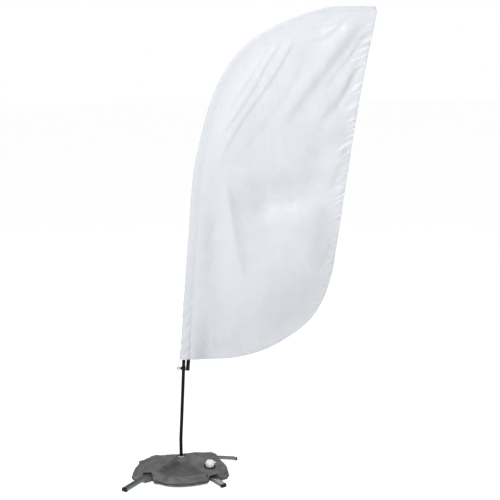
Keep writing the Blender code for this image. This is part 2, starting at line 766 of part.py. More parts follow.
def bag_ring(reach, lobe_top, share_of_rim=None):
    """One ring below and one above, at a fixed reach or at a share of the way through the rim."""
    under, over = [], []
    for azimuth, leg, share in bag_columns(reach):
        rim = BAG_LEG_RADIUS + (BAG_LOBE_RADIUS - BAG_LEG_RADIUS) * min(1.0, share / 0.8)
        radius = reach if share_of_rim is None else rim - BAG_RIM * (1 - share_of_rim)
        x, y = radius * math.cos(azimuth), radius * math.sin(azimuth)
        over_hub = reach < BAG_RINGS[2]
        floor = BAG_FLOOR if leg is None else leg + BAG_LEG_CLEARANCE
        if over_hub:
            floor = UPPER_TOP + BAG_LEG_CLEARANCE
        top = lobe_top if leg is None else max(lobe_top, floor + BAG_LEG_THICK)
        if over_hub:
            top = lobe_top
        under.append((x, y, floor))
        over.append((x, y, max(top, floor + 0.002)))
    return under, over


def water_bag(paints, parent):
    below, above = [], []
    for reach, top in zip(BAG_RINGS, BAG_LOBE_TOPS):
        under, over = bag_ring(reach, top)
        below.append(under)
        above.append(over)
    under, over = bag_ring(BAG_LEG_RADIUS - BAG_RIM, 0.070, 0.1)
    below.append(under)
    above.append(over)
    under, over = bag_ring(BAG_LEG_RADIUS, 0.070, 1.0)
    edge = [(x0, y0, z0 + (z1 - z0) * 0.5) for (x0, y0, z0), (_, _, z1) in zip(under, over)]
    bag = skin([*below, edge, *reversed(above)], closed=True)
    finish("water_bag", bag, paints["grey_vinyl"], parent)


def filler(paints, mast_axis):
    home = empty("filler_axis", mast_axis, NECK_BASE, NECK_AXIS)
    neck = (
        (NECK_BORE, 0),
        (NECK_FLANGE_RADIUS, 0),
        (NECK_FLANGE_RADIUS, NECK_FLANGE_THICK),
        (NECK_RADIUS, NECK_FLANGE_THICK + 0.001),
        (NECK_RADIUS, NECK_HEIGHT),
        (NECK_BORE, NECK_HEIGHT),
    )
    finish("filler_neck", turned(neck, 28, closed=True), paints["grey_plastic"], home)
    gasket_bottom = NECK_HEIGHT + GAP
    gasket = tube(NECK_BORE, NECK_RADIUS, gasket_bottom, gasket_bottom + GASKET_THICK, 28)
    finish("cap_gasket", gasket, paints["seal_rubber"], home)
    ceiling = gasket_bottom + GASKET_THICK + GAP
    low, high = GROOVE
    cap = (
        (0, ceiling),
        (CAP_BORE, ceiling),
        (CAP_BORE, CAP_BOTTOM),
        (CAP_RADIUS, CAP_BOTTOM),
        (CAP_RADIUS, low),
        (GROOVE_RADIUS, low),
        (GROOVE_RADIUS, high),
        (CAP_RADIUS, high),
        (CAP_RADIUS - 0.001, CAP_TOP - 0.003),
        (CAP_RADIUS - 0.004, CAP_TOP),
        (0.014, CAP_TOP),
        (0.012, CAP_TOP - 0.003),
        (0, CAP_TOP - 0.003),
    )
    finish("filler_cap", turned(cap, 28), paints["white_plastic"], home)
    tether_low, tether_high = low + 2 * GAP, high - 2 * GAP
    band = tube(*TETHER_RADII, tether_low, tether_high, 28)
    ring = finish("tether_ring", band, paints["white_plastic"], home)
    hole, rim = EYE_RADII
    spot = Matrix.Rotation(EYE_AZIMUTH, 4, "Z") @ Matrix.Translation((EYE_CENTRE, 0, 0))
    boolean(ring, "tether_lug", place(pin(rim, tether_low, tether_high, 20), spot), "UNION")
    drill_low, drill_high = tether_low - 0.003, tether_high + 0.003
    boolean(ring, "tether_lug_hole", place(pin(hole, drill_low, drill_high), spot), "DIFFERENCE")
    boolean(ring, "tether_bore", pin(TETHER_RADII[0], drill_low, drill_high, 28), "DIFFERENCE")


def make_materials():
    return {
        name: material(name, colour, roughness, metallic)
        for name, colour, roughness, metallic in (
            ("zinc_steel", (0.52, 0.55, 0.58), 0.35, 1.0),
            ("bearing_steel", (0.60, 0.60, 0.60), 0.25, 1.0),
            ("chrome", (0.90, 0.90, 0.90), 0.08, 1.0),
            ("black_paint", (0.010, 0.010, 0.011), 0.35, 0.0),
            ("fibreglass", (0.020, 0.020, 0.021), 0.40, 0.0),
            ("black_plastic", (0.015, 0.015, 0.016), 0.50, 0.0),
            ("nylon", (0.75, 0.74, 0.70), 0.45, 0.0),
            ("white_polyester", (0.80, 0.82, 0.84), 0.75, 0.0),
            ("white_webbing", (0.78, 0.79, 0.80), 0.80, 0.0),
            ("black_webbing", (0.012, 0.012, 0.012), 0.85, 0.0),
            ("grey_vinyl", (0.105, 0.110, 0.105), 0.60, 0.0),
            ("grey_plastic", (0.42, 0.43, 0.42), 0.50, 0.0),
            ("white_plastic", (0.85, 0.85, 0.85), 0.35, 0.0),
            ("seal_rubber", (0.020, 0.020, 0.020), 0.80, 0.0),
        )
    }


def main():
    clear_scene()
    paints = make_materials()
    mast_axis = empty("mast_axis", None, (MAST_X, 0, 0))
    line = PoleLine()
    cross_base(paints, mast_axis)
    spindle(paints, mast_axis)
    pole(line, paints, mast_axis)
    flag(line, paints, mast_axis)
    tensioner(line, paints, mast_axis)
    water_bag(paints, mast_axis)
    filler(paints, mast_axis)
    bpy.context.view_layer.update()


main()
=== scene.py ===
"""Looks of the feather flag: cloth, webbing, water bag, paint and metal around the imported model.

Metres, +Z up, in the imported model's frame. Shapes are drawn about the mast's axis, as the CAD source
draws them, and mesh_piece() moves each one to its place at x = MAST_X.
"""

import json
import math

import bmesh
import bpy
import numpy as np
from mathutils import Matrix, Vector, noise


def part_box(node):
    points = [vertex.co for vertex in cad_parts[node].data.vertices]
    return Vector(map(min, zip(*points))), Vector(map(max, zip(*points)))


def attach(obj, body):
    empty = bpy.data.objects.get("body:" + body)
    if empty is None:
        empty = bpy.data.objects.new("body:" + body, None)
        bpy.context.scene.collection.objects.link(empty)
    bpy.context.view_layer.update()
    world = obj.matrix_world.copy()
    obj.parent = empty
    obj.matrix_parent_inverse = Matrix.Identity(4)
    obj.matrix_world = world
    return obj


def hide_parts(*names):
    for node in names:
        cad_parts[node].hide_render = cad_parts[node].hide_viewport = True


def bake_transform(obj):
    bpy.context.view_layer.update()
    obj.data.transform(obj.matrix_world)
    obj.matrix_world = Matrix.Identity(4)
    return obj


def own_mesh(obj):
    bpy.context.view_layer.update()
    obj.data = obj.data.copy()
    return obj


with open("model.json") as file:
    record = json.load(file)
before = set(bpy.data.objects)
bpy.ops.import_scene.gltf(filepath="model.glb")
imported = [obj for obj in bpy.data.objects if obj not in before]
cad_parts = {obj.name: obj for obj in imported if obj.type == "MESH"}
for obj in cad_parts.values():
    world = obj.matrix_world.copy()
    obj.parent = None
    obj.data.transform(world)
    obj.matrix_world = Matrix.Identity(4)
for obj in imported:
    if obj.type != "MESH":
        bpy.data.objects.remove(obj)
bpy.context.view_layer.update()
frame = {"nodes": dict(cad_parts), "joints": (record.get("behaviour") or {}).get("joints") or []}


def middle(node):
    """Middle of a CAD node's box."""
    low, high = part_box(node)
    return (low + high) / 2


MAST_X = middle("spindle_flange").x

# Camera, as fitted to the four leg tips, the pole's foot and the flag's peak.
CAMERA_PLACE = (MAST_X + 0.4712, -9.6156, 2.8517)
CAMERA_PITCH = math.radians(82.0)
CAMERA_ROLL = math.radians(-0.683)
CAMERA_LENS = 107.77

# Light: a large soft lamp high on the left in front of the flag, a weaker one behind, an even fill.
KEY_PLACE = (MAST_X - 1.9, -5.4, 7.3)
KEY_POWER = 575
BACK_PLACE = (MAST_X + 2.2, 5.6, 7.0)
BACK_POWER = 210
LAMP_TARGET = (MAST_X + 0.6, 0.0, 1.9)
LAMP_SIZE = 2.2
FILL = 0.12
FLOOR_GLOW = 0.94
FLOOR_HALF = 60.0

# Pole: (x, z) of its centre line. The first step is straight, and a smooth curve goes on from there.
POLE_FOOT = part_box("pole_base_tube")[0].z
POLE_POINTS = (
    (0.0, POLE_FOOT), (0.0, 0.245), (0.01, 0.42), (0.025, 0.7),
    (0.042, 1.04), (0.085, 1.567), (0.141, 2.084), (0.297, 2.589),
    (0.502, 2.838), (0.949, 3.034), (1.284, 3.042),
)
# Distance along the pole, and the pole's radius there.
POLE_RADII = (
    (0.0, 1.07, 1.10, 2.00, 2.03, 2.88, 2.91, 3.70),
    (0.011, 0.011, 0.0092, 0.0083, 0.006, 0.0055, 0.0036, 0.0036),
)

# Flag outline: the leading edge, then the round foot, from the peak to the sleeve's seam.
PEAK = (1.297, 3.030)
LEADING_EDGE = (PEAK, (1.182, 2.457), (1.079, 1.816), (1.005, 1.361))
BOTTOM_EDGE = (
    (1.005, 1.361), (0.948, 1.168), (0.868, 1.032), (0.727, 0.915),
    (0.56, 0.825), (0.4, 0.779), (0.23, 0.766), (0.081, 0.778),
)
TUCK = 0.008  # the cloth runs on this far over the sleeve's edges
FLAG_CORNER = (0.868, 1.032)  # where the grid's foot side turns into its fly side
HOIST_BEND = 2.66  # distance along the pole where the grid's hoist side turns into its top side
SLEEVE_BOTTOM = 0.783
SEAM_OFFSET = ((0.0, 2.3, 3.2, 3.65), (0.047, 0.045, 0.036, 0.026))  # pole's middle to the sewn seam
FLAG_GRID = (150, 320)  # columns and rows
CLOTH = 0.0005  # thickness
HEM = 0.020  # width
STITCH_PITCH = 0.005
SLEEVE_SLACK = 0.0038  # gap between the pole and the middle of the sleeve's cloth
SEAM_LEVEL = 0.88  # the seam lies in front of the pole's middle by this share of the sleeve's radius
SLEEVE_TURN = 0.62  # share of the way round at which the sleeve starts to wrap the pole

# Folds of the flag, as (points on its line, width of the steep side, height, reach of its flanks).
# A fold falls away from the camera on the side towards the fly.
STEP_FOLDS = (
    (((1.235, 2.985), (1.12, 2.85), (0.983, 2.673), (0.789, 2.427), (0.66, 2.215)), 0.075, 0.038, 0.13),
    (((1.17, 2.8), (1.06, 2.66), (0.93, 2.5)), 0.024, 0.007, 0.036),
    (((1.19, 2.72), (1.078, 2.519), (0.949, 2.349), (0.87, 2.25)), 0.05, 0.022, 0.08),
    (((1.15, 2.64), (1.06, 2.46), (0.985, 2.34)), 0.022, 0.007, 0.035),
    (((0.73, 2.89), (0.61, 2.72), (0.489, 2.507), (0.267, 2.197), (0.215, 2.12)), 0.022, 0.008, 0.036),
    (((0.61, 2.8), (0.42, 2.51), (0.285, 2.3)), 0.015, 0.004, 0.028),
    (((0.8, 2.9), (0.64, 2.62), (0.43, 2.33), (0.232, 1.991)), 0.022, 0.0085, 0.04),
    (((0.86, 2.76), (0.66, 2.43), (0.342, 2.022)), 0.04, 0.007, 0.06),
    (((1.09, 2.96), (0.96, 2.86), (0.83, 2.83)), 0.024, 0.01, 0.036),
    (((1.14, 2.995), (0.99, 2.935), (0.87, 2.93)), 0.016, 0.007, 0.026),
    (((1.15, 3.012), (1.0, 2.975), (0.86, 2.975)), 0.012, 0.0045, 0.018),
    (((1.225, 2.9), (1.15, 2.78), (1.09, 2.7)), 0.016, 0.006, 0.026),
    (((0.352, 1.92), (0.41, 1.62), (0.455, 1.38), (0.5, 1.19)), 0.095, 0.021, 0.14),
    (((0.175, 2.18), (0.14, 2.11), (0.115, 2.06)), 0.012, 0.0045, 0.018),
    (((0.19, 2.09), (0.15, 2.01), (0.105, 1.96)), 0.012, 0.0035, 0.018),
    (((0.21, 1.76), (0.165, 1.66), (0.11, 1.6)), 0.014, 0.004, 0.022),
    (((0.235, 1.64), (0.18, 1.54), (0.11, 1.47)), 0.012, 0.0035, 0.02),
    (((0.26, 1.48), (0.19, 1.38), (0.11, 1.33)), 0.014, 0.0035, 0.022),
    (((1.01, 1.56), (0.93, 1.42), (0.88, 1.33)), 0.03, 0.006, 0.06),
    (((1.11, 2.18), (1.02, 1.96), (0.96, 1.85)), 0.05, 0.016, 0.08),
)
# Ridges (or hollows, below zero), as (points, half width, height).
RIDGES = (
    (((0.315, 1.96), (0.35, 1.7), (0.39, 1.45), (0.43, 1.23)), 0.03, 0.01),
    (((0.105, 0.975), (0.15, 0.88), (0.21, 0.79)), 0.013, 0.0042),
    (((0.13, 1.01), (0.165, 0.93), (0.19, 0.88)), 0.009, 0.0028),
    (((0.24, 0.93), (0.255, 0.85), (0.29, 0.785)), 0.02, -0.006),
    (((0.375, 0.96), (0.4, 0.88), (0.44, 0.81)), 0.012, -0.004),
    (((0.32, 1.02), (0.335, 0.94), (0.35, 0.88)), 0.01, 0.0026),
    (((0.5, 0.96), (0.52, 0.9), (0.545, 0.85)), 0.01, 0.003),
)
# Broad billows, as (points of the middle line, half width, height towards the camera).
BILLOWS = (
    (((0.58, 1.29), (0.82, 1.42)), 0.23, 0.07),
    (((0.6, 1.84), (0.74, 1.86), (0.88, 1.9)), 0.13, -0.05),
    (((0.25, 1.65), (0.275, 1.35), (0.3, 1.05)), 0.1, -0.026),
    (((0.3, 2.2), (0.47, 2.5), (0.7, 2.76)), 0.13, 0.015),
    (((0.88, 2.48), (1.03, 2.7), (1.13, 2.86)), 0.09, 0.012),
    (((0.95, 2.13), (1.09, 2.2)), 0.08, -0.018),
    (((0.97, 1.5), (1.04, 1.9)), 0.09, -0.01),
    (((0.22, 0.72), (0.6, 0.76), (0.96, 1.0)), 0.27, -0.088),
)
PUCKER_REACH = 0.058  # how far the hem's puckers run into the cloth
PUCKER_HEIGHT = 0.0085

# Leg bars: level at the spindle, then sloping down at the knee.
BAR_SLOPE = 0.245
BAR_KNEE = 0.0824
BAR_DEPTH = 0.020
BAR_HALF_WIDTH = 0.020
BAR_WALL = 0.0015
BAR_CORNER = 0.0028
BAR_FOOT = 0.0035  # height of the lower face at the tip
PEG_HOLE, PEG_INSET, BOLT_HOLE = 0.0045, 0.055, 0.0064
UPPER_END, LOWER_END = 0.486, 0.392122  # reach of each bar's lower edge from the spindle
UPPER_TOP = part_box("upper_leg_bar")[1].z
LOWER_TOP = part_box("lower_leg_bar")[1].z

# Water bag: a flat round bag, creased over the legs, with four lobes between them.
BAG_HOLE = 0.030  # radius of the hole round the pole
BAG_RIM = 0.030  # how far the rim bulges out past the shoulder
BAG_FLOOR = 0.0018
# Rim of the bag: azimuth in degrees, radius, and height of the crest just inside it.
BAG_EDGE = (
    (0, 0.306, 0.066), (18, 0.284, 0.078), (45, 0.297, 0.098),
    (62, 0.292, 0.09), (90, 0.27, 0.078), (118, 0.268, 0.078),
    (138, 0.282, 0.086), (158, 0.3, 0.074), (178, 0.314, 0.058),
    (200, 0.334, 0.05), (214, 0.324, 0.052), (225, 0.296, 0.058),
    (240, 0.276, 0.066), (256, 0.302, 0.07), (270, 0.306, 0.072),
    (288, 0.3, 0.072), (304, 0.297, 0.068), (315, 0.306, 0.06),
    (326, 0.326, 0.052), (341, 0.324, 0.054), (360, 0.306, 0.066),
)
BAG_HUB = (0.058, 0.1262)  # radius and height of the flat round the pole's hole
DRAPE_LIFT, DRAPE_WIDTH, DRAPE_SLOPE = 0.0072, 0.030, 0.42  # how the bag's top hangs over a leg
TUNNEL_ROOF, TUNNEL_WALL = 0.0245, 0.0315  # half widths of the hollow over a leg, above and below
BAG_COLUMNS = 420
# Creases of the bag's top in plan, as (points, half width, height).
BAG_CREASES = (
    (((0.01, -0.05), (0.01, -0.14), (0.03, -0.225)), 0.062, -0.013),
    (((-0.03, -0.045), (-0.085, -0.105), (-0.13, -0.16)), 0.012, 0.005),
    (((-0.105, -0.13), (-0.135, -0.2), (-0.12, -0.25)), 0.014, 0.0045),
    (((0.045, -0.03), (0.12, -0.075), (0.16, -0.12)), 0.012, 0.004),
    (((0.05, -0.01), (0.12, -0.035), (0.2, -0.07)), 0.014, -0.0035),
    (((0.05, 0.015), (0.14, 0.02), (0.23, 0.01)), 0.016, 0.004),
    (((-0.05, -0.01), (-0.13, -0.05), (-0.22, -0.1)), 0.014, 0.004),
    (((-0.05, 0.01), (-0.15, 0.015), (-0.25, -0.02)), 0.022, -0.0045),
    (((-0.15, -0.08), (-0.21, -0.12), (-0.26, -0.13)), 0.012, 0.0035),
    (((-0.04, 0.04), (-0.09, 0.09), (-0.14, 0.1)), 0.014, 0.004),
    (((0.0, 0.06), (0.01, 0.15), (-0.02, 0.23)), 0.04, -0.006),
    (((0.15, -0.12), (0.11, -0.13), (0.07, -0.15)), 0.01, 0.003),
    (((0.215, -0.115), (0.245, -0.07), (0.25, -0.03)), 0.012, 0.003),
    (((0.18, -0.175), (0.16, -0.21), (0.14, -0.25)), 0.01, 0.0032),
    (((0.06, -0.19), (0.12, -0.23), (0.17, -0.24)), 0.014, 0.0035),
    (((-0.06, -0.215), (0.0, -0.235), (0.06, -0.235)), 0.012, 0.004),
)
CREASE_DEPTH = 1.4  # all of those heights are scaled by this
PANEL = (233.5, 306.5, 0.09, 0.55)  # front panel painted darker as painted shade of its hollow: azimuths, and shares of the profile
EYELETS = ((232.0, 0.62), (307.0, 0.60), (128.0, 0.60), (52.0, 0.60))  # azimuth, share of the rim
EYELET_RADII = (0.0034, 0.0068)


# Small tools.

def smooth(t):
    t = np.clip(t, 0.0, 1.0)
    return t * t * (3 - 2 * t)


def smooth_line(points, steps):
    """Points along a centripetal Catmull-Rom curve through the given ones, at even distances."""
    given = [np.array(p, float) for p in points]
    padded = [2 * given[0] - given[1], *given, 2 * given[-1] - given[-2]]
    fine = []
    for p0, p1, p2, p3 in zip(padded, padded[1:], padded[2:], padded[3:]):
        t1 = math.sqrt(np.linalg.norm(p1 - p0))
        t2 = t1 + math.sqrt(np.linalg.norm(p2 - p1))
        t3 = t2 + math.sqrt(np.linalg.norm(p3 - p2))
        for t in np.linspace(t1, t2, 40, endpoint=False):
            a1 = p0 * (t1 - t) / t1 + p1 * t / t1
            a2 = p1 * (t2 - t) / (t2 - t1) + p2 * (t - t1) / (t2 - t1)
            a3 = p2 * (t3 - t) / (t3 - t2) + p3 * (t - t2) / (t3 - t2)
            b1 = a1 * (t2 - t) / t2 + a2 * t / t2
            b2 = a2 * (t3 - t) / (t3 - t1) + a3 * (t - t1) / (t3 - t1)
            fine.append(b1 * (t2 - t) / (t2 - t1) + b2 * (t - t1) / (t2 - t1))
    fine.append(given[-1])
    return evenly(np.array(fine), steps)


def lengths(points):
    """Distance along a line at each of its points."""
    return np.concatenate([[0], np.cumsum(np.linalg.norm(np.diff(points, axis=0), axis=1))])


def evenly(points, steps):
    """The same line with that many points, at even distances."""
    run = lengths(points)
    even = np.linspace(0, run[-1], steps)
    return np.column_stack([np.interp(even, run, points[:, i]) for i in range(points.shape[1])])


def tapered(share, start, end, held=0.0):
    """1 along the middle of a line, easing to about nothing over its start and end shares."""
    return smooth(share / start + held) * smooth((1 - share) / end + held)


def drawn(table, steps):
    """Rows of (points, sizes...) with a smooth line in place of the points."""
    return [(smooth_line(line, steps), *sizes) for line, *sizes in table]


def nearest_on(line, points):
    """For each point: distance to a line, the side it lies on, and the share of the way along."""
    best = np.full(len(points), 1e9)
    side = np.zeros(len(points))
    share = np.zeros(len(points))
    run = lengths(line)
    for i, (start, end) in enumerate(zip(line, line[1:])):
        ahead = end - start
        long = np.linalg.norm(ahead)
        ahead = ahead / long
        off = points - start
        along = np.clip(off @ ahead, 0, long)
        gap = off - along[:, None] * ahead
        distance = np.linalg.norm(gap, axis=1)
        closer = distance < best
        best = np.where(closer, distance, best)
        turn = off[:, 0] * ahead[1] - off[:, 1] * ahead[0]
        side = np.where(closer, np.where(turn >= 0, 1.0, -1.0), side)
        share = np.where(closer, (run[i] + along) / run[-1], share)
    return best, side, share


def in_plane(spots, y):
    """(x, y, z) points from (x, z) ones, standing y off the flag's plane."""
    return np.column_stack([spots[:, 0], y, spots[:, 1]])


def mesh_piece(name, points, faces, material):
    """A smooth mesh piece from mast-relative points."""
    mesh = bpy.data.meshes.new(name)
    placed = np.array(points, float) + np.array([MAST_X, 0.0, 0.0])
    mesh.from_pydata(placed.tolist(), [], [list(map(int, f)) for f in faces])
    mesh.validate()
    mesh.materials.append(material)
    piece = bpy.data.objects.new(name, mesh)
    bpy.context.scene.collection.objects.link(piece)
    built = bmesh.new()
    built.from_mesh(mesh)
    bmesh.ops.recalc_face_normals(built, faces=built.faces)
    built.to_mesh(mesh)
    built.free()
    mesh.shade_smooth()
    mesh.set_sharp_from_angle(angle=math.radians(50))
    return piece


def grid_faces(rows, columns, wrap_rows=False, wrap_columns=False):
    """Quads of a grid whose points run along its columns first."""
    row_count = rows if wrap_rows else rows - 1
    column_count = columns if wrap_columns else columns - 1
    faces = []
    for i in range(row_count):
        for j in range(column_count):
            k, n = (i + 1) % rows, (j + 1) % columns
            faces.append((i * columns + j, i * columns + n, k * columns + n, k * columns + j))
    return faces


def apply_modifiers(piece):
    """Keep the piece's mesh as its modifiers leave it."""
    graph = bpy.context.evaluated_depsgraph_get()
    graph.update()
    made = bpy.data.meshes.new_from_object(piece.evaluated_get(graph))
    piece.modifiers.clear()
    piece.data = made


def thicken(piece, thickness):
    skin = piece.modifiers.new("thickness", "SOLIDIFY")
    skin.thickness = thickness
    skin.offset = 0.0
    apply_modifiers(piece)


def turned_piece(name, profile, sides, material, matrix=None, ribs=None):
    """A piece turned about Z from a closed (radius, height) profile.

    ribs = (count, depth, lowest height, highest height, least radius).
    """
    angles = np.linspace(0, 2 * math.pi, sides, endpoint=False)
    rings = []
    for radius, height in profile:
        reach = np.full(sides, radius)
        if ribs:
            count, depth, low, high, least = ribs
            if low <= height <= high and radius > least:
                reach = reach - depth * (0.5 - 0.5 * np.cos(angles * count)) ** 1.5
        level = np.full(sides, height)
        rings.append(np.column_stack([reach * np.cos(angles), reach * np.sin(angles), level]))
    points = np.vstack(rings)
    if matrix is not None:
        points = points @ np.array(matrix.to_3x3()).T + np.array(matrix.translation)
    return mesh_piece(name, points, grid_faces(len(profile), sides, True, True), material)


def rounded(profile, radius, steps=3):
    """A closed (x, y) outline with its corners rounded."""
    given = [np.array(p, float) for p in profile]
    out = []
    for i, corner in enumerate(given):
        before, after = given[i - 1], given[(i + 1) % len(given)]
        back, ahead = before - corner, after - corner
        cut = min(radius, 0.45 * np.linalg.norm(back), 0.45 * np.linalg.norm(ahead))
        start = corner + back / np.linalg.norm(back) * cut
        end = corner + ahead / np.linalg.norm(ahead) * cut
        for t in np.linspace(0, 1, steps + 1):
            out.append((1 - t) ** 2 * start + 2 * t * (1 - t) * corner + t * t * end)
    return out


def stitches(name, centres, aheads, ups, material, slot):
    """Thread stitches, each a small pointed loop of thread lying on the cloth."""
    length, width, height = 0.0034, 0.0007, 0.0005
    points, faces = [], []
    for centre, ahead, up in zip(centres, aheads, ups):
        ahead = ahead / np.linalg.norm(ahead)
        up = up / np.linalg.norm(up)
        across = np.cross(ahead, up)
        base = len(points)
        for share, swell in ((-0.5, 0.35), (-0.25, 1.0), (0.25, 1.0), (0.5, 0.35)):
            middle_point = centre + ahead * length * share
            lift = height * (1.0 if swell == 1.0 else 0.2)
            points.append(middle_point + across * width / 2 * swell)
            points.append(middle_point + up * lift)
            points.append(middle_point - across * width / 2 * swell)
        for i in range(3):
            for j in range(3):
                a, b = base + 3 * i + j, base + 3 * i + (j + 1) % 3
                faces.append((a, b, b + 3, a + 3))
        faces.append((base, base + 1, base + 2))
        faces.append((base + 9, base + 10, base + 11))
    return mesh_piece(name, points, faces, material)


# Materials.

class Paint:
    """A Principled material built up from object coordinates."""

    def __init__(self, name, colour, roughness, metallic=0.0, **sockets):
        self.material = bpy.data.materials.new(name)
        self.material.use_nodes = True
        self.tree = self.material.node_tree
        self.shader = self.tree.nodes["Principled BSDF"]
        self.shader.inputs["Base Color"].default_value = (*colour, 1.0)
        self.shader.inputs["Roughness"].default_value = roughness
        self.shader.inputs["Metallic"].default_value = metallic
        for socket, value in sockets.items():
            self.shader.inputs[socket.replace("_", " ")].default_value = value
        self.place = self.tree.nodes.new("ShaderNodeTexCoord").outputs["Object"]
        self.normal = None

    def node(self, kind, **settings):
        made = self.tree.nodes.new(kind)
        for key, value in settings.items():
            if key.startswith("in_"):
                made.inputs[key[3:].replace("_", " ")].default_value = value
            else:
                setattr(made, key, value)
        return made

    def link(self, output, target):
        self.tree.links.new(output, target)

    def noise(self, scale, detail=4.0, roughness=0.55, stretch=(1, 1, 1)):
        mapping = self.node("ShaderNodeMapping", in_Scale=stretch)
        self.link(self.place, mapping.inputs["Vector"])
        made = self.node("ShaderNodeTexNoise", in_Scale=scale, in_Detail=detail, in_Roughness=roughness)
        self.link(mapping.outputs["Vector"], made.inputs["Vector"])
        return made.outputs["Fac"]

    def texture(self, kind, output, **settings):
        made = self.node(kind, **settings)
        self.link(self.place, made.inputs["Vector"])
        return made.outputs[output]

    def wave(self, pitch, direction):
        """Bands that are pitch metres apart."""
        return self.texture("ShaderNodeTexWave", "Fac", in_Scale=0.314 / pitch, bands_direction=direction)

    def math(self, operation, a, b):
        made = self.node("ShaderNodeMath", operation=operation)
        for socket, value in zip(made.inputs, (a, b)):
            if isinstance(value, (int, float)):
                socket.default_value = value
            else:
                self.link(value, socket)
        return made.outputs["Value"]

    def ramp(self, value, low, high, start=0.3, end=0.7):
        """value spread between two colours or two greys."""
        made = self.node("ShaderNodeValToRGB")
        for element, place, colour in zip(made.color_ramp.elements, (start, end), (low, high)):
            element.position = place
            red_green_blue = (colour,) * 3 if isinstance(colour, (int, float)) else colour
            element.color = (*red_green_blue, 1.0)
        self.link(value, made.inputs["Fac"])
        return made.outputs["Color"]

    def colour_from(self, value, low, high, start=0.3, end=0.7):
        self.link(self.ramp(value, low, high, start, end), self.shader.inputs["Base Color"])

    def roughness_from(self, value, low, high, start=0.3, end=0.7):
        self.link(self.ramp(value, low, high, start, end), self.shader.inputs["Roughness"])

    def bump(self, value, distance, strength=1.0):
        made = self.node("ShaderNodeBump", in_Distance=distance, in_Strength=strength)
        self.link(value, made.inputs["Height"])
        if self.normal is not None:
            self.link(self.normal, made.inputs["Normal"])
        self.normal = made.outputs["Normal"]
        self.link(self.normal, self.shader.inputs["Normal"])


def shade(colour, factor):
    return tuple(c * factor for c in colour)


def flag_cloth_paint(name, colour, crinkle):
    """Knitted white polyester, slightly silky, with small crinkles left from its folding."""
    paint = Paint(name, colour, 0.42, Sheen_Weight=0.25, Sheen_Roughness=0.4, Specular_IOR_Level=0.45)
    tone = paint.noise(9.0, 5.0, 0.6)
    paint.colour_from(tone, shade(colour, 0.965), shade(colour, 1.02))
    paint.roughness_from(paint.noise(30.0), 0.38, 0.50)
    paint.bump(paint.noise(26.0, 5.0, 0.62, (1.0, 1.0, 0.6)), crinkle)
    paint.bump(paint.noise(110.0, 3.0, 0.6), 0.00022)
    knit = paint.math("MULTIPLY", paint.wave(0.0011, "X"), paint.wave(0.0009, "Z"))
    paint.bump(knit, 0.00010)
    return paint.material


def webbing_paint(name, colour):
    """Woven webbing: ribs across, crossed by the yarn's own grain."""
    paint = Paint(name, colour, 0.85, Specular_IOR_Level=0.25)
    ribs = paint.math("MULTIPLY", paint.wave(0.0016, "Z"), paint.wave(0.0016 * 0.6, "X"))
    lighter = tuple(c * 1.5 + 0.004 for c in colour)
    paint.colour_from(ribs, colour, lighter, 0.1, 0.9)
    paint.bump(ribs, 0.0005)
    paint.bump(paint.noise(900.0), 0.0001)
    return paint.material


def vinyl_paint(name, colour, dust=1.55):
    """Coated grey cloth: a plain weave under a thin matt coat, scuffed lighter where it rubs."""
    paint = Paint(name, colour, 0.55, Specular_IOR_Level=0.4)
    scuffs = paint.noise(16.0, 7.0, 0.62)
    paint.colour_from(scuffs, shade(colour, 0.72), shade(colour, dust), 0.30, 0.75)
    paint.roughness_from(paint.noise(45.0, 5.0), 0.46, 0.66)
    weave = paint.math("ADD", paint.wave(0.0016, "X"), paint.wave(0.0016, "Y"))
    paint.bump(paint.noise(60.0, 6.0, 0.6), 0.0009)
    paint.bump(weave, 0.00022)
    return paint.material


def zinc_paint(name, colour):
    """Zinc-plated steel tube: faint spangle, drawing lines and dull patches."""
    paint = Paint(name, colour, 0.36, metallic=0.55)
    spangle = paint.texture("ShaderNodeTexVoronoi", "Distance", in_Scale=140.0)
    paint.colour_from(spangle, shade(colour, 0.84), shade(colour, 1.12), 0.0, 0.8)
    paint.roughness_from(paint.noise(60.0, 6.0), 0.28, 0.48)
    paint.bump(paint.noise(420.0, 4.0), 0.00008)
    paint.bump(spangle, 0.00005)
    return paint.material


def bright_steel_paint(name, colour, roughness, metallic=1.0):
    """Ground or polished steel with fine turning marks."""
    paint = Paint(name, colour, roughness, metallic)
    paint.roughness_from(paint.noise(180.0, 5.0), roughness * 0.8, roughness * 1.5)
    paint.bump(paint.noise(700.0, 3.0, 0.6, (1, 1, 12)), 0.00003)
    return paint.material


def plastic_paint(name, colour, roughness, scuff=1.25, specular=0.5):
    """Moulded plastic: fine spark-eroded grain, with faint scuffs."""
    paint = Paint(name, colour, roughness, Specular_IOR_Level=specular)
    scuffs = paint.noise(70.0, 6.0, 0.65)
    paint.colour_from(scuffs, colour, tuple(min(0.92, c * scuff + 0.001) for c in colour), 0.5, 0.8)
    paint.roughness_from(paint.noise(240.0, 4.0), roughness * 0.85, min(1.0, roughness * 1.2))
    paint.bump(paint.noise(1500.0, 2.0), 0.00008)
    return paint.material


def painted_tube_paint(name, colour, roughness):
    """Black stoved paint: orange peel, with a few rubbed streaks along the tube."""
    paint = Paint(name, colour, roughness, Specular_IOR_Level=0.16)
    streaks = paint.noise(45.0, 6.0, 0.65, (5, 5, 0.4))
    paint.colour_from(streaks, colour, shade(colour, 2.2), 0.55, 0.9)
    paint.roughness_from(streaks, roughness, roughness * 1.4)
    paint.bump(paint.noise(600.0, 3.0), 0.00005)
    return paint.material


def thread_paint(name, colour):
    """Twisted sewing thread."""
    paint = Paint(name, colour, 0.60, Sheen_Weight=0.3)
    paint.bump(paint.wave(0.0005, "DIAGONAL"), 0.0001)
    paint.roughness_from(paint.noise(800.0), 0.5, 0.7)
    return paint.material


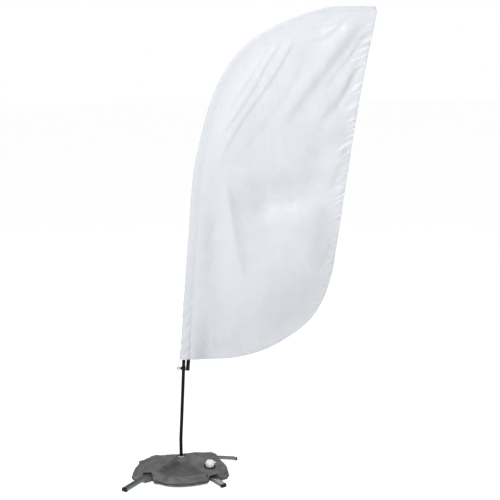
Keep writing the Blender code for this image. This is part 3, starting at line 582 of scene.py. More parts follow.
def make_paints():
    return {
        "cloth": flag_cloth_paint("flag_cloth_paint", (0.640, 0.661, 0.688), 0.0012),
        "hem": flag_cloth_paint("hem_cloth_paint", (0.625, 0.646, 0.675), 0.0008),
        # The sleeve's cloth is a little darker than the flag's: painted shade of the black pole showing
        # through the thin cloth.
        "sleeve": flag_cloth_paint("sleeve_cloth_painted_shade", (0.625, 0.646, 0.675), 0.0010),
        "white_thread": thread_paint("white_thread_paint", (0.66, 0.68, 0.71)),
        "grey_thread": thread_paint("grey_thread_paint", (0.075, 0.078, 0.075)),
        "white_web": webbing_paint("white_webbing_paint", (0.60, 0.62, 0.65)),
        "black_web": webbing_paint("black_webbing_paint", (0.004, 0.004, 0.0045)),
        "vinyl": vinyl_paint("grey_vinyl_paint", (0.134, 0.137, 0.131)),
        # A darker copy of the vinyl for the front panel between the legs: painted shade of the panel's
        # hollow, with fainter scuffs.
        "vinyl_painted_shade": vinyl_paint("grey_vinyl_panel_painted_shade", (0.100, 0.103, 0.099), 1.3),
        "vinyl_edge": vinyl_paint("grey_vinyl_edge_paint", (0.026, 0.027, 0.026), 1.2),
        "zinc": zinc_paint("zinc_paint", (0.165, 0.186, 0.200)),
        "steel": bright_steel_paint("bearing_steel_paint", (0.62, 0.62, 0.63), 0.22),
        "chrome": bright_steel_paint("chrome_paint", (0.88, 0.89, 0.90), 0.24, 0.6),
        "pole": painted_tube_paint("black_tube_paint", (0.003, 0.003, 0.0032), 0.42),
        "fibre": painted_tube_paint("glass_fibre_paint", (0.006, 0.006, 0.006), 0.46),
        "black_plastic": plastic_paint("black_plastic_paint", (0.004, 0.004, 0.0044), 0.50, specular=0.22),
        "grey_plastic": plastic_paint("grey_plastic_paint", (0.36, 0.37, 0.36), 0.45),
        "white_plastic": plastic_paint("white_plastic_paint", (0.88, 0.89, 0.90), 0.34, scuff=1.02),
        "nylon": plastic_paint("nylon_paint", (0.72, 0.70, 0.65), 0.45, scuff=1.04),
        "rubber": plastic_paint("rubber_paint", (0.020, 0.020, 0.020), 0.80),
    }


# Stage.

def camera():
    data = bpy.data.cameras.new("camera")
    data.lens = CAMERA_LENS
    data.sensor_width = 36.0
    data.clip_end = 100.0
    made = bpy.data.objects.new("camera", data)
    turn = Matrix.Rotation(CAMERA_PITCH, 4, "X") @ Matrix.Rotation(CAMERA_ROLL, 4, "Z")
    made.matrix_world = Matrix.Translation(CAMERA_PLACE) @ turn
    bpy.context.scene.collection.objects.link(made)
    bpy.context.scene.camera = made


def area_light(name, place, power):
    data = bpy.data.lights.new(name, "AREA")
    data.size = LAMP_SIZE
    data.energy = power
    made = bpy.data.objects.new(name, data)
    ahead = Vector(LAMP_TARGET) - Vector(place)
    made.location = place
    made.rotation_euler = ahead.to_track_quat("-Z", "Y").to_euler()
    bpy.context.scene.collection.objects.link(made)


def studio_world():
    """Plain white behind the object, and a weaker even fill on it."""
    world = bpy.data.worlds.new("studio")
    world.use_nodes = True
    tree = world.node_tree
    fill = tree.nodes["Background"]
    fill.inputs["Color"].default_value = (0.96, 0.98, 1.0, 1.0)
    fill.inputs["Strength"].default_value = FILL
    backdrop = tree.nodes.new("ShaderNodeBackground")
    backdrop.inputs["Color"].default_value = (1.0, 1.0, 1.0, 1.0)
    seen = tree.nodes.new("ShaderNodeLightPath")
    mix = tree.nodes.new("ShaderNodeMixShader")
    tree.links.new(seen.outputs["Is Camera Ray"], mix.inputs["Fac"])
    tree.links.new(fill.outputs["Background"], mix.inputs[1])
    tree.links.new(backdrop.outputs["Background"], mix.inputs[2])
    tree.links.new(mix.outputs["Shader"], tree.nodes["World Output"].inputs["Surface"])
    bpy.context.scene.world = world


def stage():
    bpy.context.scene.view_settings.view_transform = "Standard"
    studio_world()
    floor = Paint("floor_paint", (0.32, 0.32, 0.32), 0.9)
    floor.bump(floor.noise(3.0), 0.0004)
    floor.shader.inputs["Emission Color"].default_value = (1.0, 1.0, 1.0, 1.0)
    floor.shader.inputs["Emission Strength"].default_value = FLOOR_GLOW
    corners = [(x * FLOOR_HALF, y * FLOOR_HALF, 0.0) for x, y in ((-1, -1), (1, -1), (1, 1), (-1, 1))]
    ground = mesh_piece("floor", corners, [(0, 1, 2, 3)], floor.material)
    area_light("key", KEY_PLACE, KEY_POWER)
    area_light("back", BACK_PLACE, BACK_POWER)
    camera()


# Flag.

class Pole:
    """The pole's centre line."""

    def __init__(self):
        straight_foot, *curve = POLE_POINTS
        self.points = np.vstack([straight_foot, smooth_line(curve, 600)])
        self.run = lengths(self.points)
        self.length = self.run[-1]

    def centre(self, distance):
        return np.array([np.interp(distance, self.run, self.points[:, i]) for i in (0, 1)])

    def at(self, distance):
        """Centre point, direction along, and direction towards the flag."""
        step = 0.004
        ahead = self.centre(distance + step) - self.centre(distance - step)
        ahead = ahead / np.linalg.norm(ahead)
        return self.centre(distance), ahead, np.array([ahead[1], -ahead[0]])

    def beside(self, distance, offset):
        point, _, side = self.at(distance)
        return point + side * offset

    def distance_at_height(self, height):
        return float(np.interp(height, self.points[:, 1], self.run))


class FlagShape:
    """Outline of the flag's single cloth, and how far its folds stand off the flag's plane."""

    def __init__(self, pole):
        self.pole = pole
        self.start = pole.distance_at_height(SLEEVE_BOTTOM)
        self.end = pole.length - 0.004
        self.seam = self.beside_pole(0.0)
        self.tuck = self.beside_pole(TUCK)
        fly = smooth_line(LEADING_EDGE, 200)
        foot = smooth_line((self.seam[0], *BOTTOM_EDGE[-2::-1]), 200)
        self.free_edge = evenly(np.vstack([foot, fly[::-1][1:]]), 900)  # seam's foot, round to the peak
        self.free_run = lengths(self.free_edge)
        self.folds, self.ridges, self.billows = drawn(STEP_FOLDS, 24), drawn(RIDGES, 16), drawn(BILLOWS, 16)

    def beside_pole(self, inset):
        """Line of the sleeve's seam, moved that far towards the pole, and ending at the peak."""
        stops = np.linspace(self.start, self.end, 500)
        line = np.array([self.pole.beside(s, np.interp(s, *SEAM_OFFSET) - inset) for s in stops])
        line[-1] = PEAK
        return line

    def stand_off(self, points):
        """y of the cloth at (x, z) points. The camera's side is negative."""
        off = np.zeros(len(points))
        for line, width, height, flank in self.folds:
            distance, side, share = nearest_on(line, points)
            taper = tapered(share, 0.18, 0.30)
            step = np.tanh(2.0 * side * distance / width) * np.exp(-((distance / flank) ** 1.6))
            off -= 0.5 * height * step * taper
        for line, width, height in self.ridges:
            distance, _, share = nearest_on(line, points)
            taper = tapered(share, 0.25, 0.25, 0.15)
            off -= height * np.exp(-((distance / width) ** 2)) * taper
        for line, width, height in self.billows:
            distance, _, _ = nearest_on(line, points)
            off -= height * np.exp(-((distance / width) ** 2))
        edge_gap, _, edge_share = nearest_on(self.free_edge[::6], points)
        off += self.puckers(edge_share * self.free_run[-1], edge_gap)
        seam_gap, _, seam_share = nearest_on(self.seam[::6], points)
        drag = np.sin(2 * math.pi * (seam_share * 62 + seam_gap * 9) + 1.9 * np.sin(seam_share * 40))
        off += 0.0007 * drag * np.exp(-seam_gap / 0.035)
        off += self.crumple(points)
        hold = smooth(np.minimum(seam_gap, 0.12) / 0.12)
        lift = SEAM_LEVEL * self.sleeve_radius(self.start + seam_share * (self.end - self.start))
        return off * (0.15 + 0.85 * hold) - lift * np.exp(-((seam_gap / 0.17) ** 2))

    def sleeve_radius(self, distance):
        """Half thickness of the sleeve over the pole."""
        return np.interp(distance, *POLE_RADII) + SLEEVE_SLACK

    def puckers(self, along, gap):
        """Short uneven folds that the hem's stitching draws in, leaning down towards the pole."""
        foot = 1 - smooth((along - 0.75) / 1.60)
        out = np.zeros(len(along))
        for i, (run, inner) in enumerate(zip(along, gap)):
            if inner > 0.14:
                continue
            lean = run + 0.75 * inner
            coarse = noise.noise(Vector((lean / 0.026, inner / 0.10, 7.0)))
            fine = noise.noise(Vector((lean / 0.013, inner / 0.05, 2.0)))
            out[i] = coarse + 0.60 * fine
        return PUCKER_HEIGHT * (1.25 - 0.85 * foot) * out * np.exp(-((gap / PUCKER_REACH) ** 1.4))

    def crumple(self, points):
        """Small random creases left from packing, mostly along the bias."""
        warped = [Vector((x * 6.0 + z * 2.2, z * 3.4 - x * 1.2, 0.0)) for x, z in points]
        return 0.0034 * np.array([noise.fractal(spot, 0.9, 2.1, 4) for spot in warped])


def coons(foot, fly, hoist, top, columns, rows):
    """Grid of points between four sides. foot and top run to the fly, hoist and fly run up."""
    u = np.linspace(0, 1, columns)[None, :, None]
    v = np.linspace(0, 1, rows)[:, None, None]
    foot, top = evenly(foot, columns)[None], evenly(top, columns)[None]
    hoist, fly = evenly(hoist, rows)[:, None], evenly(fly, rows)[:, None]
    ruled = (1 - v) * foot + v * top + (1 - u) * hoist + u * fly
    corners = (1 - u) * (1 - v) * foot[:, :1] + u * (1 - v) * foot[:, -1:]
    corners = corners + (1 - u) * v * top[:, :1] + u * v * top[:, -1:]
    return (ruled - corners).reshape(-1, 2)


def flag_cloth(shape, paints):
    turn = int(np.argmin(np.linalg.norm(shape.free_edge - np.array(FLAG_CORNER), axis=1)))
    bend_share = (HOIST_BEND - shape.start) / (shape.end - shape.start)
    bend = int(bend_share * len(shape.seam))
    columns, rows = FLAG_GRID
    foot = np.vstack([shape.tuck[0], shape.free_edge[1 : turn + 1]])
    hoist, top = shape.tuck[: bend + 1], shape.tuck[bend:]
    plan = coons(foot, shape.free_edge[turn:], hoist, top, columns, rows)
    points = in_plane(plan, shape.stand_off(plan))
    cloth = mesh_piece("flag_cloth", points, grid_faces(rows, columns), paints["cloth"])
    thicken(cloth, CLOTH)
    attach(cloth, "mast")
    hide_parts("flag_panel")
    return cloth


def inward(line):
    """Unit directions at each point of the free edge: into the cloth, and along the edge."""
    ahead = np.gradient(line, axis=0)
    ahead = ahead / np.linalg.norm(ahead, axis=1)[:, None]
    return np.column_stack([-ahead[:, 1], ahead[:, 0]]), ahead


def flag_hem(shape, paints):
    """The free edge folded over twice, round from the front face to the back."""
    line = evenly(shape.free_edge, 700)
    inner, _ = inward(line)
    section = ((HEM, -0.0005), (HEM - 0.001, -0.0010), (0.010, -0.0010), (0.001, -0.0010), (-0.0004, -0.0004))
    section += tuple((gap, -level) for gap, level in reversed(section))
    columns = []
    for gap, level in section:
        spot = line + inner * gap
        columns.append(in_plane(spot, shape.stand_off(spot) + level))
    points = np.stack(columns, axis=1).reshape(-1, 3)
    faces = grid_faces(len(line), len(section))
    hem = mesh_piece("flag_hem", points, faces, paints["hem"])
    thicken(hem, 0.0003)
    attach(hem, "mast")
    return hem


def lockstitch(name, spot, off, ahead, lift, paints):
    """A row of stitches along (x, z) spots, on both faces of the cloth."""
    rows = []
    for side in (-1, 1):
        ups = np.tile((0.0, float(side), 0.0), (len(spot), 1))
        rows.append((in_plane(spot, off + side * lift), in_plane(ahead, np.zeros(len(spot))), ups))
    stacked = [np.vstack(parts) for parts in zip(*rows)]
    made = stitches(name, *stacked, paints["white_thread"], "white_polyester")
    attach(made, "mast")
    return made


def edge_stitches(shape, paints):
    """The stitching along the hem."""
    line = evenly(shape.free_edge, int(shape.free_run[-1] / STITCH_PITCH))
    inner, ahead = inward(line)
    spot = line + inner * (HEM - 0.003)
    return lockstitch("hem_stitches", spot, shape.stand_off(spot), ahead, 0.00125, paints)


def seam_stitches(shape, paints):
    """The seam that closes the pole's sleeve."""
    line = evenly(shape.seam, int(lengths(shape.seam)[-1] / STITCH_PITCH))
    ahead = np.gradient(line, axis=0)
    towards_flag = np.column_stack([ahead[:, 1], -ahead[:, 0]]) / np.linalg.norm(ahead, axis=1)[:, None]
    spot = line - towards_flag * 0.004
    return lockstitch("sleeve_seam_stitches", spot, shape.stand_off(line), ahead, 0.0021, paints)


def sleeve_section(shape, distance, share):
    """Point of the sleeve: share goes from the seam at the front, round the pole, to the seam behind."""
    centre, _, side = shape.pole.at(distance)
    seam = float(np.interp(distance, *SEAM_OFFSET))
    radius = float(shape.sleeve_radius(distance))
    face = -1.0 if share < 0.5 else 1.0
    half = min(share, 1 - share) * 2  # 0 at the seam, 1 at the sleeve's far left
    from_foot = distance - shape.start
    flare = 0.015 * math.exp(-from_foot / 0.050)
    sewn = -SEAM_LEVEL * radius
    if half < SLEEVE_TURN:
        rise = 1 - (1 - half / SLEEVE_TURN) ** 1.3
        across = seam * (1 - half / SLEEVE_TURN)
        level = sewn + (0.0018 if face > 0 else 0.0010) * (1 - rise) + (face * radius - sewn) * rise
    else:
        angle = (half - SLEEVE_TURN) / (1 - SLEEVE_TURN) * math.pi / 2
        across = -(radius + flare) * math.sin(angle)
        level = face * radius * math.cos(angle)
    point = centre + side * across
    foot_slack = 0.0064 * math.exp(-from_foot / 0.38) + 0.0008
    twist = 2 * math.pi * (distance / 0.070 + 0.9 * (share - 0.5) * 2 + 0.35 * math.sin(distance * 11))
    ripple = 0.5 + 0.5 * math.sin(twist)
    fine = 0.5 + 0.5 * math.sin(twist * 2.3 + 1.0 + 2 * math.sin(distance * 23))
    free = smooth(half / 0.25)
    push = (foot_slack * ripple**1.5 + 0.3 * foot_slack * fine) * free
    outward_x = -1.0 if half >= SLEEVE_TURN else -0.2
    point = point + side * push * outward_x * smooth((half - 0.5) / 0.3)
    return (point[0], level + face * push * (1.0 if half < 0.85 else 0.4), point[1])


def flag_sleeve(shape, paints):
    stops = np.linspace(shape.start, shape.end, 460)
    shares = np.linspace(0, 1, 41)
    seam_off = shape.stand_off(shape.seam)
    seam_run = np.linspace(shape.start, shape.end, len(shape.seam))
    points = []
    for s in stops:
        lift = float(np.interp(s, seam_run, seam_off))
        for share in shares:
            x, y, z = sleeve_section(shape, s, share)
            near_seam = 1 - smooth(min(share, 1 - share) * 2 / 0.35)
            sewn = -SEAM_LEVEL * float(shape.sleeve_radius(s))
            points.append((x, y + (lift - sewn) * near_seam, z))
    faces = grid_faces(len(stops), len(shares))
    # The sleeve takes the darker cloth paint: painted shade of the black pole behind the cloth.
    sleeve = mesh_piece("flag_sleeve_cloth", points, faces, paints["sleeve"])
    thicken(sleeve, CLOTH)
    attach(sleeve, "mast")
    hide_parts("flag_sleeve")
    return sleeve


def tip_pocket(shape, paints):
    """Reinforced webbing end that the pole's tip pushes into, closed and slightly flattened."""
    pole = shape.pole
    stops = np.concatenate([np.linspace(pole.length - 0.110, pole.length, 34), [pole.length + 0.003]])
    around = 28
    points = []
    for i, s in enumerate(stops):
        centre, ahead, side = pole.at(min(s, pole.length))
        centre = centre + ahead * max(0.0, s - pole.length)
        closing = 1.0 if i < len(stops) - 1 else 0.25
        tall = 0.0100 * closing
        deep = (0.0088 - 0.0018 * smooth((s - stops[0]) / 0.11)) * closing
        for j in range(around):
            angle = 2 * math.pi * j / around
            ripple = 1 + 0.02 * math.sin(s * 900 + 3 * math.sin(angle))
            spot = centre + side * (tall * math.cos(angle) * ripple + 0.001)
            points.append((spot[0], deep * math.sin(angle) * ripple, spot[1]))
    faces = grid_faces(len(stops), around, wrap_columns=True)
    faces.append(tuple(range(len(points) - around, len(points))))
    pocket = mesh_piece("tip_pocket_webbing", points, faces, paints["white_web"])
    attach(pocket, "mast")
    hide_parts("tip_pocket")
    return pocket


def tension_strap(shape, paints):
    """Webbing sewn to both faces of the flag's foot and looped round the collar's hook."""
    collar_low, collar_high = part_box("tension_collar")
    pole = shape.pole
    distance = pole.distance_at_height((collar_low.z + collar_high.z) / 2)
    home, ahead, side = pole.at(distance)
    bar_drop, bar_reach = -0.010, 0.0275
    loop = 0.0034
    below = [(-loop * math.cos(a), bar_drop - loop * math.sin(a)) for a in np.linspace(0, math.pi, 13)]
    rise = [(0.0040, 0.010), (0.0030, 0.035), (0.0026, 0.050), (0.0030, 0.060), (0.0034, 0.078)]
    section = [(-y, z) for y, z in reversed(rise)] + below + rise
    section = smooth_line(section, 60)
    points = []
    for y, up in section:
        for share in np.linspace(-1, 1, 9):
            edge = 0.0002 * math.cos(up * 1800) * abs(share)
            across = bar_reach + 0.05 * up + share * (0.0120 - edge)
            spot = home + ahead * up + side * across
            points.append((spot[0], y * (1 + 0.04 * math.sin(share * 3)), spot[1]))
    faces = grid_faces(len(section), 9)
    strap = mesh_piece("tension_webbing", points, faces, paints["black_web"])
    thicken(strap, 0.0012)
    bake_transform(strap)
    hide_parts("tension_strap")


# Water bag.

class BagShape:
    """The bag's surface: share 0 at the hole above, through the rim, to 1 at the hole below."""

    TOP_END, RIM_END = 0.56, 0.74

    def __init__(self):
        self.creases = drawn(BAG_CREASES, 14)
        neck = middle("filler_neck")
        self.neck = np.array([neck.x - MAST_X, neck.y])
        self.neck_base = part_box("filler_neck")[0].z

    def edge(self, azimuth):
        """Radius of the rim and height of the crest, eased between the named azimuths."""
        around, radii, crests = zip(*BAG_EDGE)
        degrees = np.degrees(azimuth)
        turned = [(degrees + off) % 360 for off in (-4, -2, 0, 2, 4)]
        return tuple(sum(np.interp(t, around, table) for t in turned) / 5 for table in (radii, crests))

    def legs(self, reach, azimuth):
        """Across-distance to the nearest leg's middle, and the height of its top face."""
        quarter = np.round((azimuth - math.pi / 4) / (math.pi / 2))
        off = azimuth - math.pi / 4 - quarter * math.pi / 2
        across = reach * np.sin(np.abs(off))
        return across, self.bar_top(quarter, reach * np.cos(off))

    def bar_top(self, quarter, along):
        """Height of a bar's top face. The upper bar lies in the first and third quarters."""
        flat_top = np.where(quarter % 2 == 0, UPPER_TOP, LOWER_TOP)
        return flat_top - BAR_SLOPE * np.maximum(0.0, along - BAR_KNEE)

    def leg_ridges(self, reach, azimuth):
        """Height of the cloth where it hangs over each of the four legs in turn."""
        for number in range(4):
            off = azimuth - math.pi / 4 - number * math.pi / 2
            along = reach * np.cos(off)
            across = np.where(along > 0, np.abs(reach * np.sin(off)), reach)
            lying = self.bar_top(number, along) + DRAPE_LIFT
            yield lying - DRAPE_SLOPE * np.maximum(0.0, across - DRAPE_WIDTH)

    def heights(self, reach, azimuth):
        """Heights of the bag's underside and top."""
        across, leg_top = self.legs(reach, azimuth)
        tunnel = 1 - smooth((across - TUNNEL_ROOF) / (TUNNEL_WALL - TUNNEL_ROOF))
        over_hub = 1 - smooth((reach - 0.056) / 0.020)
        floor = BAG_FLOOR + (leg_top + 0.0022 - BAG_FLOOR) * tunnel
        floor = floor + (UPPER_TOP + 0.0012 - floor) * over_hub
        radius, crest = self.edge(azimuth)
        hub_reach, hub_height = BAG_HUB
        out = np.clip((reach - hub_reach) / (radius - BAG_RIM - hub_reach), 0, 1.1)
        top = hub_height + (crest - hub_height) * out**0.8
        sharp = 0.0035
        for ridge in self.leg_ridges(reach, azimuth):
            top = sharp * np.logaddexp(top / sharp, ridge / sharp)
        top = top - sharp * math.log(4) * over_hub
        plan = np.column_stack([reach * np.cos(azimuth), reach * np.sin(azimuth)])
        fade = smooth((reach - 0.036) / 0.04) * smooth((0.315 - reach) / 0.04)
        top = top + self.panel(plan[:, 0], plan[:, 1]) * fade * smooth((across - 0.032) / 0.030)
        for line, width, height in self.creases:
            distance, _, share = nearest_on(line, plan)
            taper = tapered(share, 0.25, 0.3, 0.1)
            top = top + CREASE_DEPTH * height * np.exp(-((distance / width) ** 2)) * taper * fade
        from_neck = np.linalg.norm(plan - self.neck, axis=1)
        off_x, off_y = (plan - self.neck).T
        bearing = np.arctan2(off_y, off_x)
        gathers = 0.0016 * np.sin(bearing * 9) * np.exp(-(((from_neck - 0.045) / 0.020) ** 2))
        mound = smooth((0.085 - from_neck) / 0.055)
        seat = self.neck_base + 0.0015 - (0.1 * off_x - 0.2 * off_y)
        top = top + (seat - top) * mound + gathers
        sag = np.array([noise.fractal(Vector((x * 16, y * 16, 3.0)), 0.9, 2.0, 4) for x, y in plan])
        top = top + 0.0042 * sag * fade * (1 - mound)
        return floor, np.maximum(top, floor + 0.0018 + 0.0022 * fade)

    def panel(self, x, y):
        """Hollow of the slack panel between the two front legs."""
        inside = smooth((0.215 + y) / 0.02) * smooth((-y - 0.035) / 0.06)
        inside = inside * smooth((-y * 1.05 + 0.01 - np.abs(x - 0.012)) / 0.035)
        return -0.0180 * inside

    def at(self, share, azimuth):
        """(x, y, z) for arrays of shares and azimuths."""
        rim, _ = self.edge(azimuth % (2 * math.pi))
        shoulder = rim - BAG_RIM
        azimuth = azimuth % (2 * math.pi)
        on_top = np.clip(share / self.TOP_END, 0, 1)
        through = np.clip((share - self.TOP_END) / (self.RIM_END - self.TOP_END), 0, 1)
        below = np.clip((share - self.RIM_END) / (1 - self.RIM_END), 0, 1)
        in_rim = (share > self.TOP_END) & (share < self.RIM_END)
        flat = np.where(share <= self.TOP_END, on_top, 1 - below)
        reach = BAG_HOLE + (shoulder - BAG_HOLE) * flat
        floor, top = self.heights(reach, azimuth)
        angle = through * math.pi
        swell = np.sin(angle) ** 0.8
        bulge = BAG_RIM * swell * (1 + 0.05 * np.sin(azimuth * 23) * np.sin(angle))
        lean = (1 + np.cos(angle)) / 2
        slump = lean ** (1 + 0.5 * smooth((0.066 - top) / 0.012))
        height = np.where(share <= self.TOP_END, top, floor)
        height = np.where(in_rim, floor + (top - floor) * slump, height)
        reach = np.where(in_rim, shoulder + bulge, reach)
        return np.column_stack([reach * np.cos(azimuth), reach * np.sin(azimuth), height])


def water_bag(bag, paints):
    top = np.linspace(0, bag.TOP_END, 84, endpoint=False)
    rim = np.linspace(bag.TOP_END, bag.RIM_END, 26, endpoint=False)
    shares = np.concatenate([top, rim, np.linspace(bag.RIM_END, 1, 40)])
    azimuths = np.linspace(0, 2 * math.pi, BAG_COLUMNS, endpoint=False)
    share, azimuth = (a.ravel() for a in np.meshgrid(shares, azimuths, indexing="ij"))
    points = bag.at(share, azimuth)
    faces = grid_faces(len(shares), BAG_COLUMNS, wrap_rows=True, wrap_columns=True)
    made = mesh_piece("water_bag_skin", points, faces, paints["vinyl"])
    # The front panel's faces take the darker vinyl, as painted shade of its hollow.
    made.data.materials.append(paints["vinyl_painted_shade"])
    low, high, inner, outer = PANEL
    for face in made.data.polygons:
        ring, column = divmod(face.vertices[0], BAG_COLUMNS)
        turned = math.degrees(azimuths[column])
        if low < turned < high and inner < shares[ring] < outer:
            face.material_index = 1
    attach(made, "bag")
    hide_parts("water_bag")
    return made


def bag_strip(name, bag, share, width, thickness, paint, wave=0.0):
    """A welded strip that stands out from the bag along one share of its profile."""
    count = 480
    azimuths = np.linspace(0, 2 * math.pi, count, endpoint=False)
    middle_line = bag.at(np.full(count, share), azimuths)
    outward = np.column_stack([np.cos(azimuths), np.sin(azimuths), np.zeros(count)])
    rise = wave * np.sin(azimuths * 31 + 2 * np.sin(azimuths * 5))
    section = ((-0.003, -0.5), (0.0, -0.5), (0.85, -0.5), (1.0, 0.0), (0.85, 0.5), (0.0, 0.5), (-0.003, 0.5))
    rings = []
    for out, up in section:
        gap = out * width if out > 0 else out
        lift = up * thickness + rise * max(out, 0.0)
        rings.append(middle_line + outward * gap + np.outer(lift, (0.0, 0.0, 1.0)))
    points = np.stack(rings, axis=1).reshape(-1, 3)
    faces = grid_faces(count, len(section), wrap_rows=True)
    return mesh_piece(name, points, faces, paint)


def bag_trim(bag, paints):
    """Welded edge, rolled binding round the pole's hole, and eyelets."""
    seam = bag_strip("bag_edge_weld", bag, 0.672, 0.0065, 0.0022, paints["vinyl_edge"], 0.0012)
    count = 96
    azimuths = np.linspace(0, 2 * math.pi, count, endpoint=False)
    edge_top = bag.at(np.zeros(count), azimuths)
    points = []
    for i, (x, y, z) in enumerate(edge_top):
        for angle in np.linspace(0, 2 * math.pi, 10, endpoint=False):
            out = 1 + (0.0016 * math.cos(angle) + 0.0006) / BAG_HOLE
            points.append((x * out, y * out, z - 0.0010 + 0.0016 * math.sin(angle)))
    faces = grid_faces(count, 10, True, True)
    collar = mesh_piece("bag_hole_binding", points, faces, paints["vinyl_edge"])
    made = [seam, collar]
    for number, (azimuth, share) in enumerate(EYELETS, 1):
        made.append(eyelet(f"bag_eyelet_{number}", bag, math.radians(azimuth), share, paints))
    for piece in made:
        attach(piece, "bag")
    return made


def eyelet(name, bag, azimuth, share, paints):
    """A rolled black eyelet pressed into the bag's edge."""
    step = 0.004
    here = bag.at(np.array([share]), np.array([azimuth]))[0]
    along = bag.at(np.array([share]), np.array([azimuth + step]))[0] - here
    down = bag.at(np.array([share + step]), np.array([azimuth]))[0] - here
    normal = Vector(np.cross(down, along)).normalized()
    if normal.dot(Vector(here)) < 0:
        normal = -normal
    turn = normal.to_track_quat("Z", "Y").to_matrix().to_4x4()
    matrix = Matrix.Translation(Vector(here) + normal * 0.0006) @ turn
    inner, outer = EYELET_RADII
    wire = (outer - inner) / 2
    middle_radius = (outer + inner) / 2
    turns = np.linspace(0, 2 * math.pi, 12, endpoint=False)
    profile = [(middle_radius + wire * math.cos(a), 0.0012 * math.sin(a)) for a in turns]
    return turned_piece(name, profile, 32, paints["pole"], matrix)


# Filler.

def filler_home():
    """The filler's own axis, from the record's cap_turn joint."""
    joint = next(j for j in frame["joints"] if j["name"] == "cap_turn")
    axis = Vector(joint["axis"]).normalized()
    base = Vector(joint["pos_m"]) - Vector((MAST_X, 0, 0))
    return Matrix.Translation(base) @ Vector((0, 0, 1)).rotation_difference(axis).to_matrix().to_4x4()


def filler(paints):
    home = filler_home()
    cap_profile = (
        (0.0218, 0.0245), (0.0218, 0.0070), (0.0270, 0.0070), (0.0270, 0.0180), (0.0240, 0.0180),
        (0.0240, 0.0225), (0.0270, 0.0225), (0.0262, 0.0330), (0.0235, 0.0360), (0.0140, 0.0360),
        (0.0120, 0.0330), (0.0010, 0.0330), (0.0010, 0.0245),
    )
    ribs = (36, 0.0009, 0.0072, 0.0345, 0.0250)
    profile = rounded(cap_profile, 0.0009)
    white = paints["white_plastic"]
    cap = turned_piece("filler_cap_ribbed", profile, 216, white, home, ribs)
    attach(cap, "cap")
    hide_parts("filler_cap")
    ring_profile = ((0.0272, -0.0008), (0.0400, -0.0022), (0.0400, -0.0006), (0.0272, 0.0012))
    profile = rounded(ring_profile, 0.0005)
    flange = turned_piece("neck_weld_ring", profile, 72, paints["vinyl_edge"], home)
    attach(flange, "bag")


# Legs.

def bar_points(bottom, end, offset):
    """Side view (reach, height) of a line that far above a bar's lower face."""
    bend = math.atan(BAR_SLOPE)
    knee = 0.080 + offset * math.tan(bend / 2)
    foot = end + offset * math.sin(bend)
    foot_height = BAR_FOOT + offset * math.cos(bend)
    return [(-foot, foot_height), (-knee, bottom + offset), (knee, bottom + offset), (foot, foot_height)]


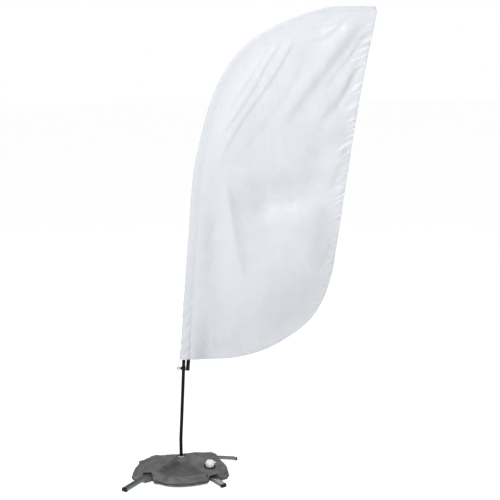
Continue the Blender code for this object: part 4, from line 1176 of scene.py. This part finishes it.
def leg_tube(name, node, body, bottom, end, azimuth, paints):
    """The bar with the rounded corners of rolled tube, its wall, and its peg holes."""
    rings = []
    for inset, radius in ((0.0, BAR_CORNER), (BAR_WALL, BAR_CORNER - BAR_WALL)):
        half, low, high = BAR_HALF_WIDTH - inset, inset, BAR_DEPTH - inset
        outline = rounded([(-half, low), (half, low), (half, high), (-half, high)], radius, 4)
        lines = [bar_points(bottom, end, level) for _, level in outline]
        stations = []
        for i in range(4):
            stations.append([(line[i][0], across, line[i][1]) for (across, _), line in zip(outline, lines)])
        rings.append(stations)
    outside, inside = rings
    points = np.array([*outside, *reversed(inside)], float)
    count = points.shape[1]
    flat = points.reshape(-1, 3)
    turn = np.array(Matrix.Rotation(azimuth, 3, "Z"))
    bar = mesh_piece(name, flat @ turn.T, grid_faces(8, count, True, True), paints["zinc"])
    for reach, radius in ((end - PEG_INSET, PEG_HOLE), (PEG_INSET - end, PEG_HOLE), (0.0, BOLT_HOLE)):
        spot = Vector((MAST_X + reach * math.cos(azimuth), reach * math.sin(azimuth), 0.08))
        drill = bmesh.new()
        bmesh.ops.create_cone(drill, cap_ends=True, segments=28, radius1=radius, radius2=radius, depth=0.2)
        bmesh.ops.translate(drill, verts=drill.verts, vec=spot)
        tool = bpy.data.objects.new("drill", bpy.data.meshes.new("drill"))
        drill.to_mesh(tool.data)
        drill.free()
        bpy.context.scene.collection.objects.link(tool)
        cut = bar.modifiers.new("drill", "BOOLEAN")
        cut.operation = "DIFFERENCE"
        cut.object = tool
        apply_modifiers(bar)
        bpy.data.objects.remove(tool)
    bar.data.shade_smooth()
    bar.data.set_sharp_from_angle(angle=math.radians(40))
    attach(bar, body)
    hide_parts(node)


def legs(paints):
    for name, node, body, top, end, azimuth in (
        ("upper_leg_tube", "upper_leg_bar", "upper_leg", UPPER_TOP, UPPER_END, 45),
        ("lower_leg_tube", "lower_leg_bar", "base", LOWER_TOP, LOWER_END, 135),
    ):
        leg_tube(name, node, body, top - BAR_DEPTH, end, math.radians(azimuth), paints)


# Materials of the CAD nodes that stay.

def paint_nodes(paints):
    for names, key in (
        (("lower_cap_back_left", "lower_cap_front_right", "tension_collar"), "black_plastic"),
        (("upper_cap_front_left", "upper_cap_back_right", "pole_tip_cap"), "black_plastic"),
        (("thumb_screw", "pole_base_tube"), "pole"),
        (("pole_mid_section", "pole_upper_section", "pole_tip_section"), "fibre"),
        (("spindle_flange", "rotor_sleeve"), "chrome"),
        (("bearing_spacer", "bolt_washer", "lower_ferrule", "middle_ferrule", "upper_ferrule"), "zinc"),
        (("spindle_bolt", "spindle_nut", "lower_ball_cage", "upper_ball_cage"), "steel"),
        (("lower_bearing_inner", "upper_bearing_inner"), "steel"),
        (("lower_bearing_outer", "upper_bearing_outer"), "steel"),
        (("pivot_washer",), "nylon"),
        (("filler_neck",), "grey_plastic"),
        (("tether_ring",), "white_plastic"),
        (("cap_gasket",), "rubber"),
    ):
        for name in names:
            for slot in frame["nodes"][name].material_slots:
                slot.material = paints[key]


def main():
    stage()
    paints = make_paints()
    paint_nodes(paints)
    shape = FlagShape(Pole())
    cloth = flag_cloth(shape, paints)
    makers = (flag_hem, edge_stitches, seam_stitches, flag_sleeve, tip_pocket)
    going = [make(shape, paints) for make in makers]
    tension_strap(shape, paints)
    bag = BagShape()
    skin = water_bag(bag, paints)
    trim = bag_trim(bag, paints)
    filler(paints)
    for piece in (skin, *trim):
        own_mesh(piece)
    legs(paints)


main()
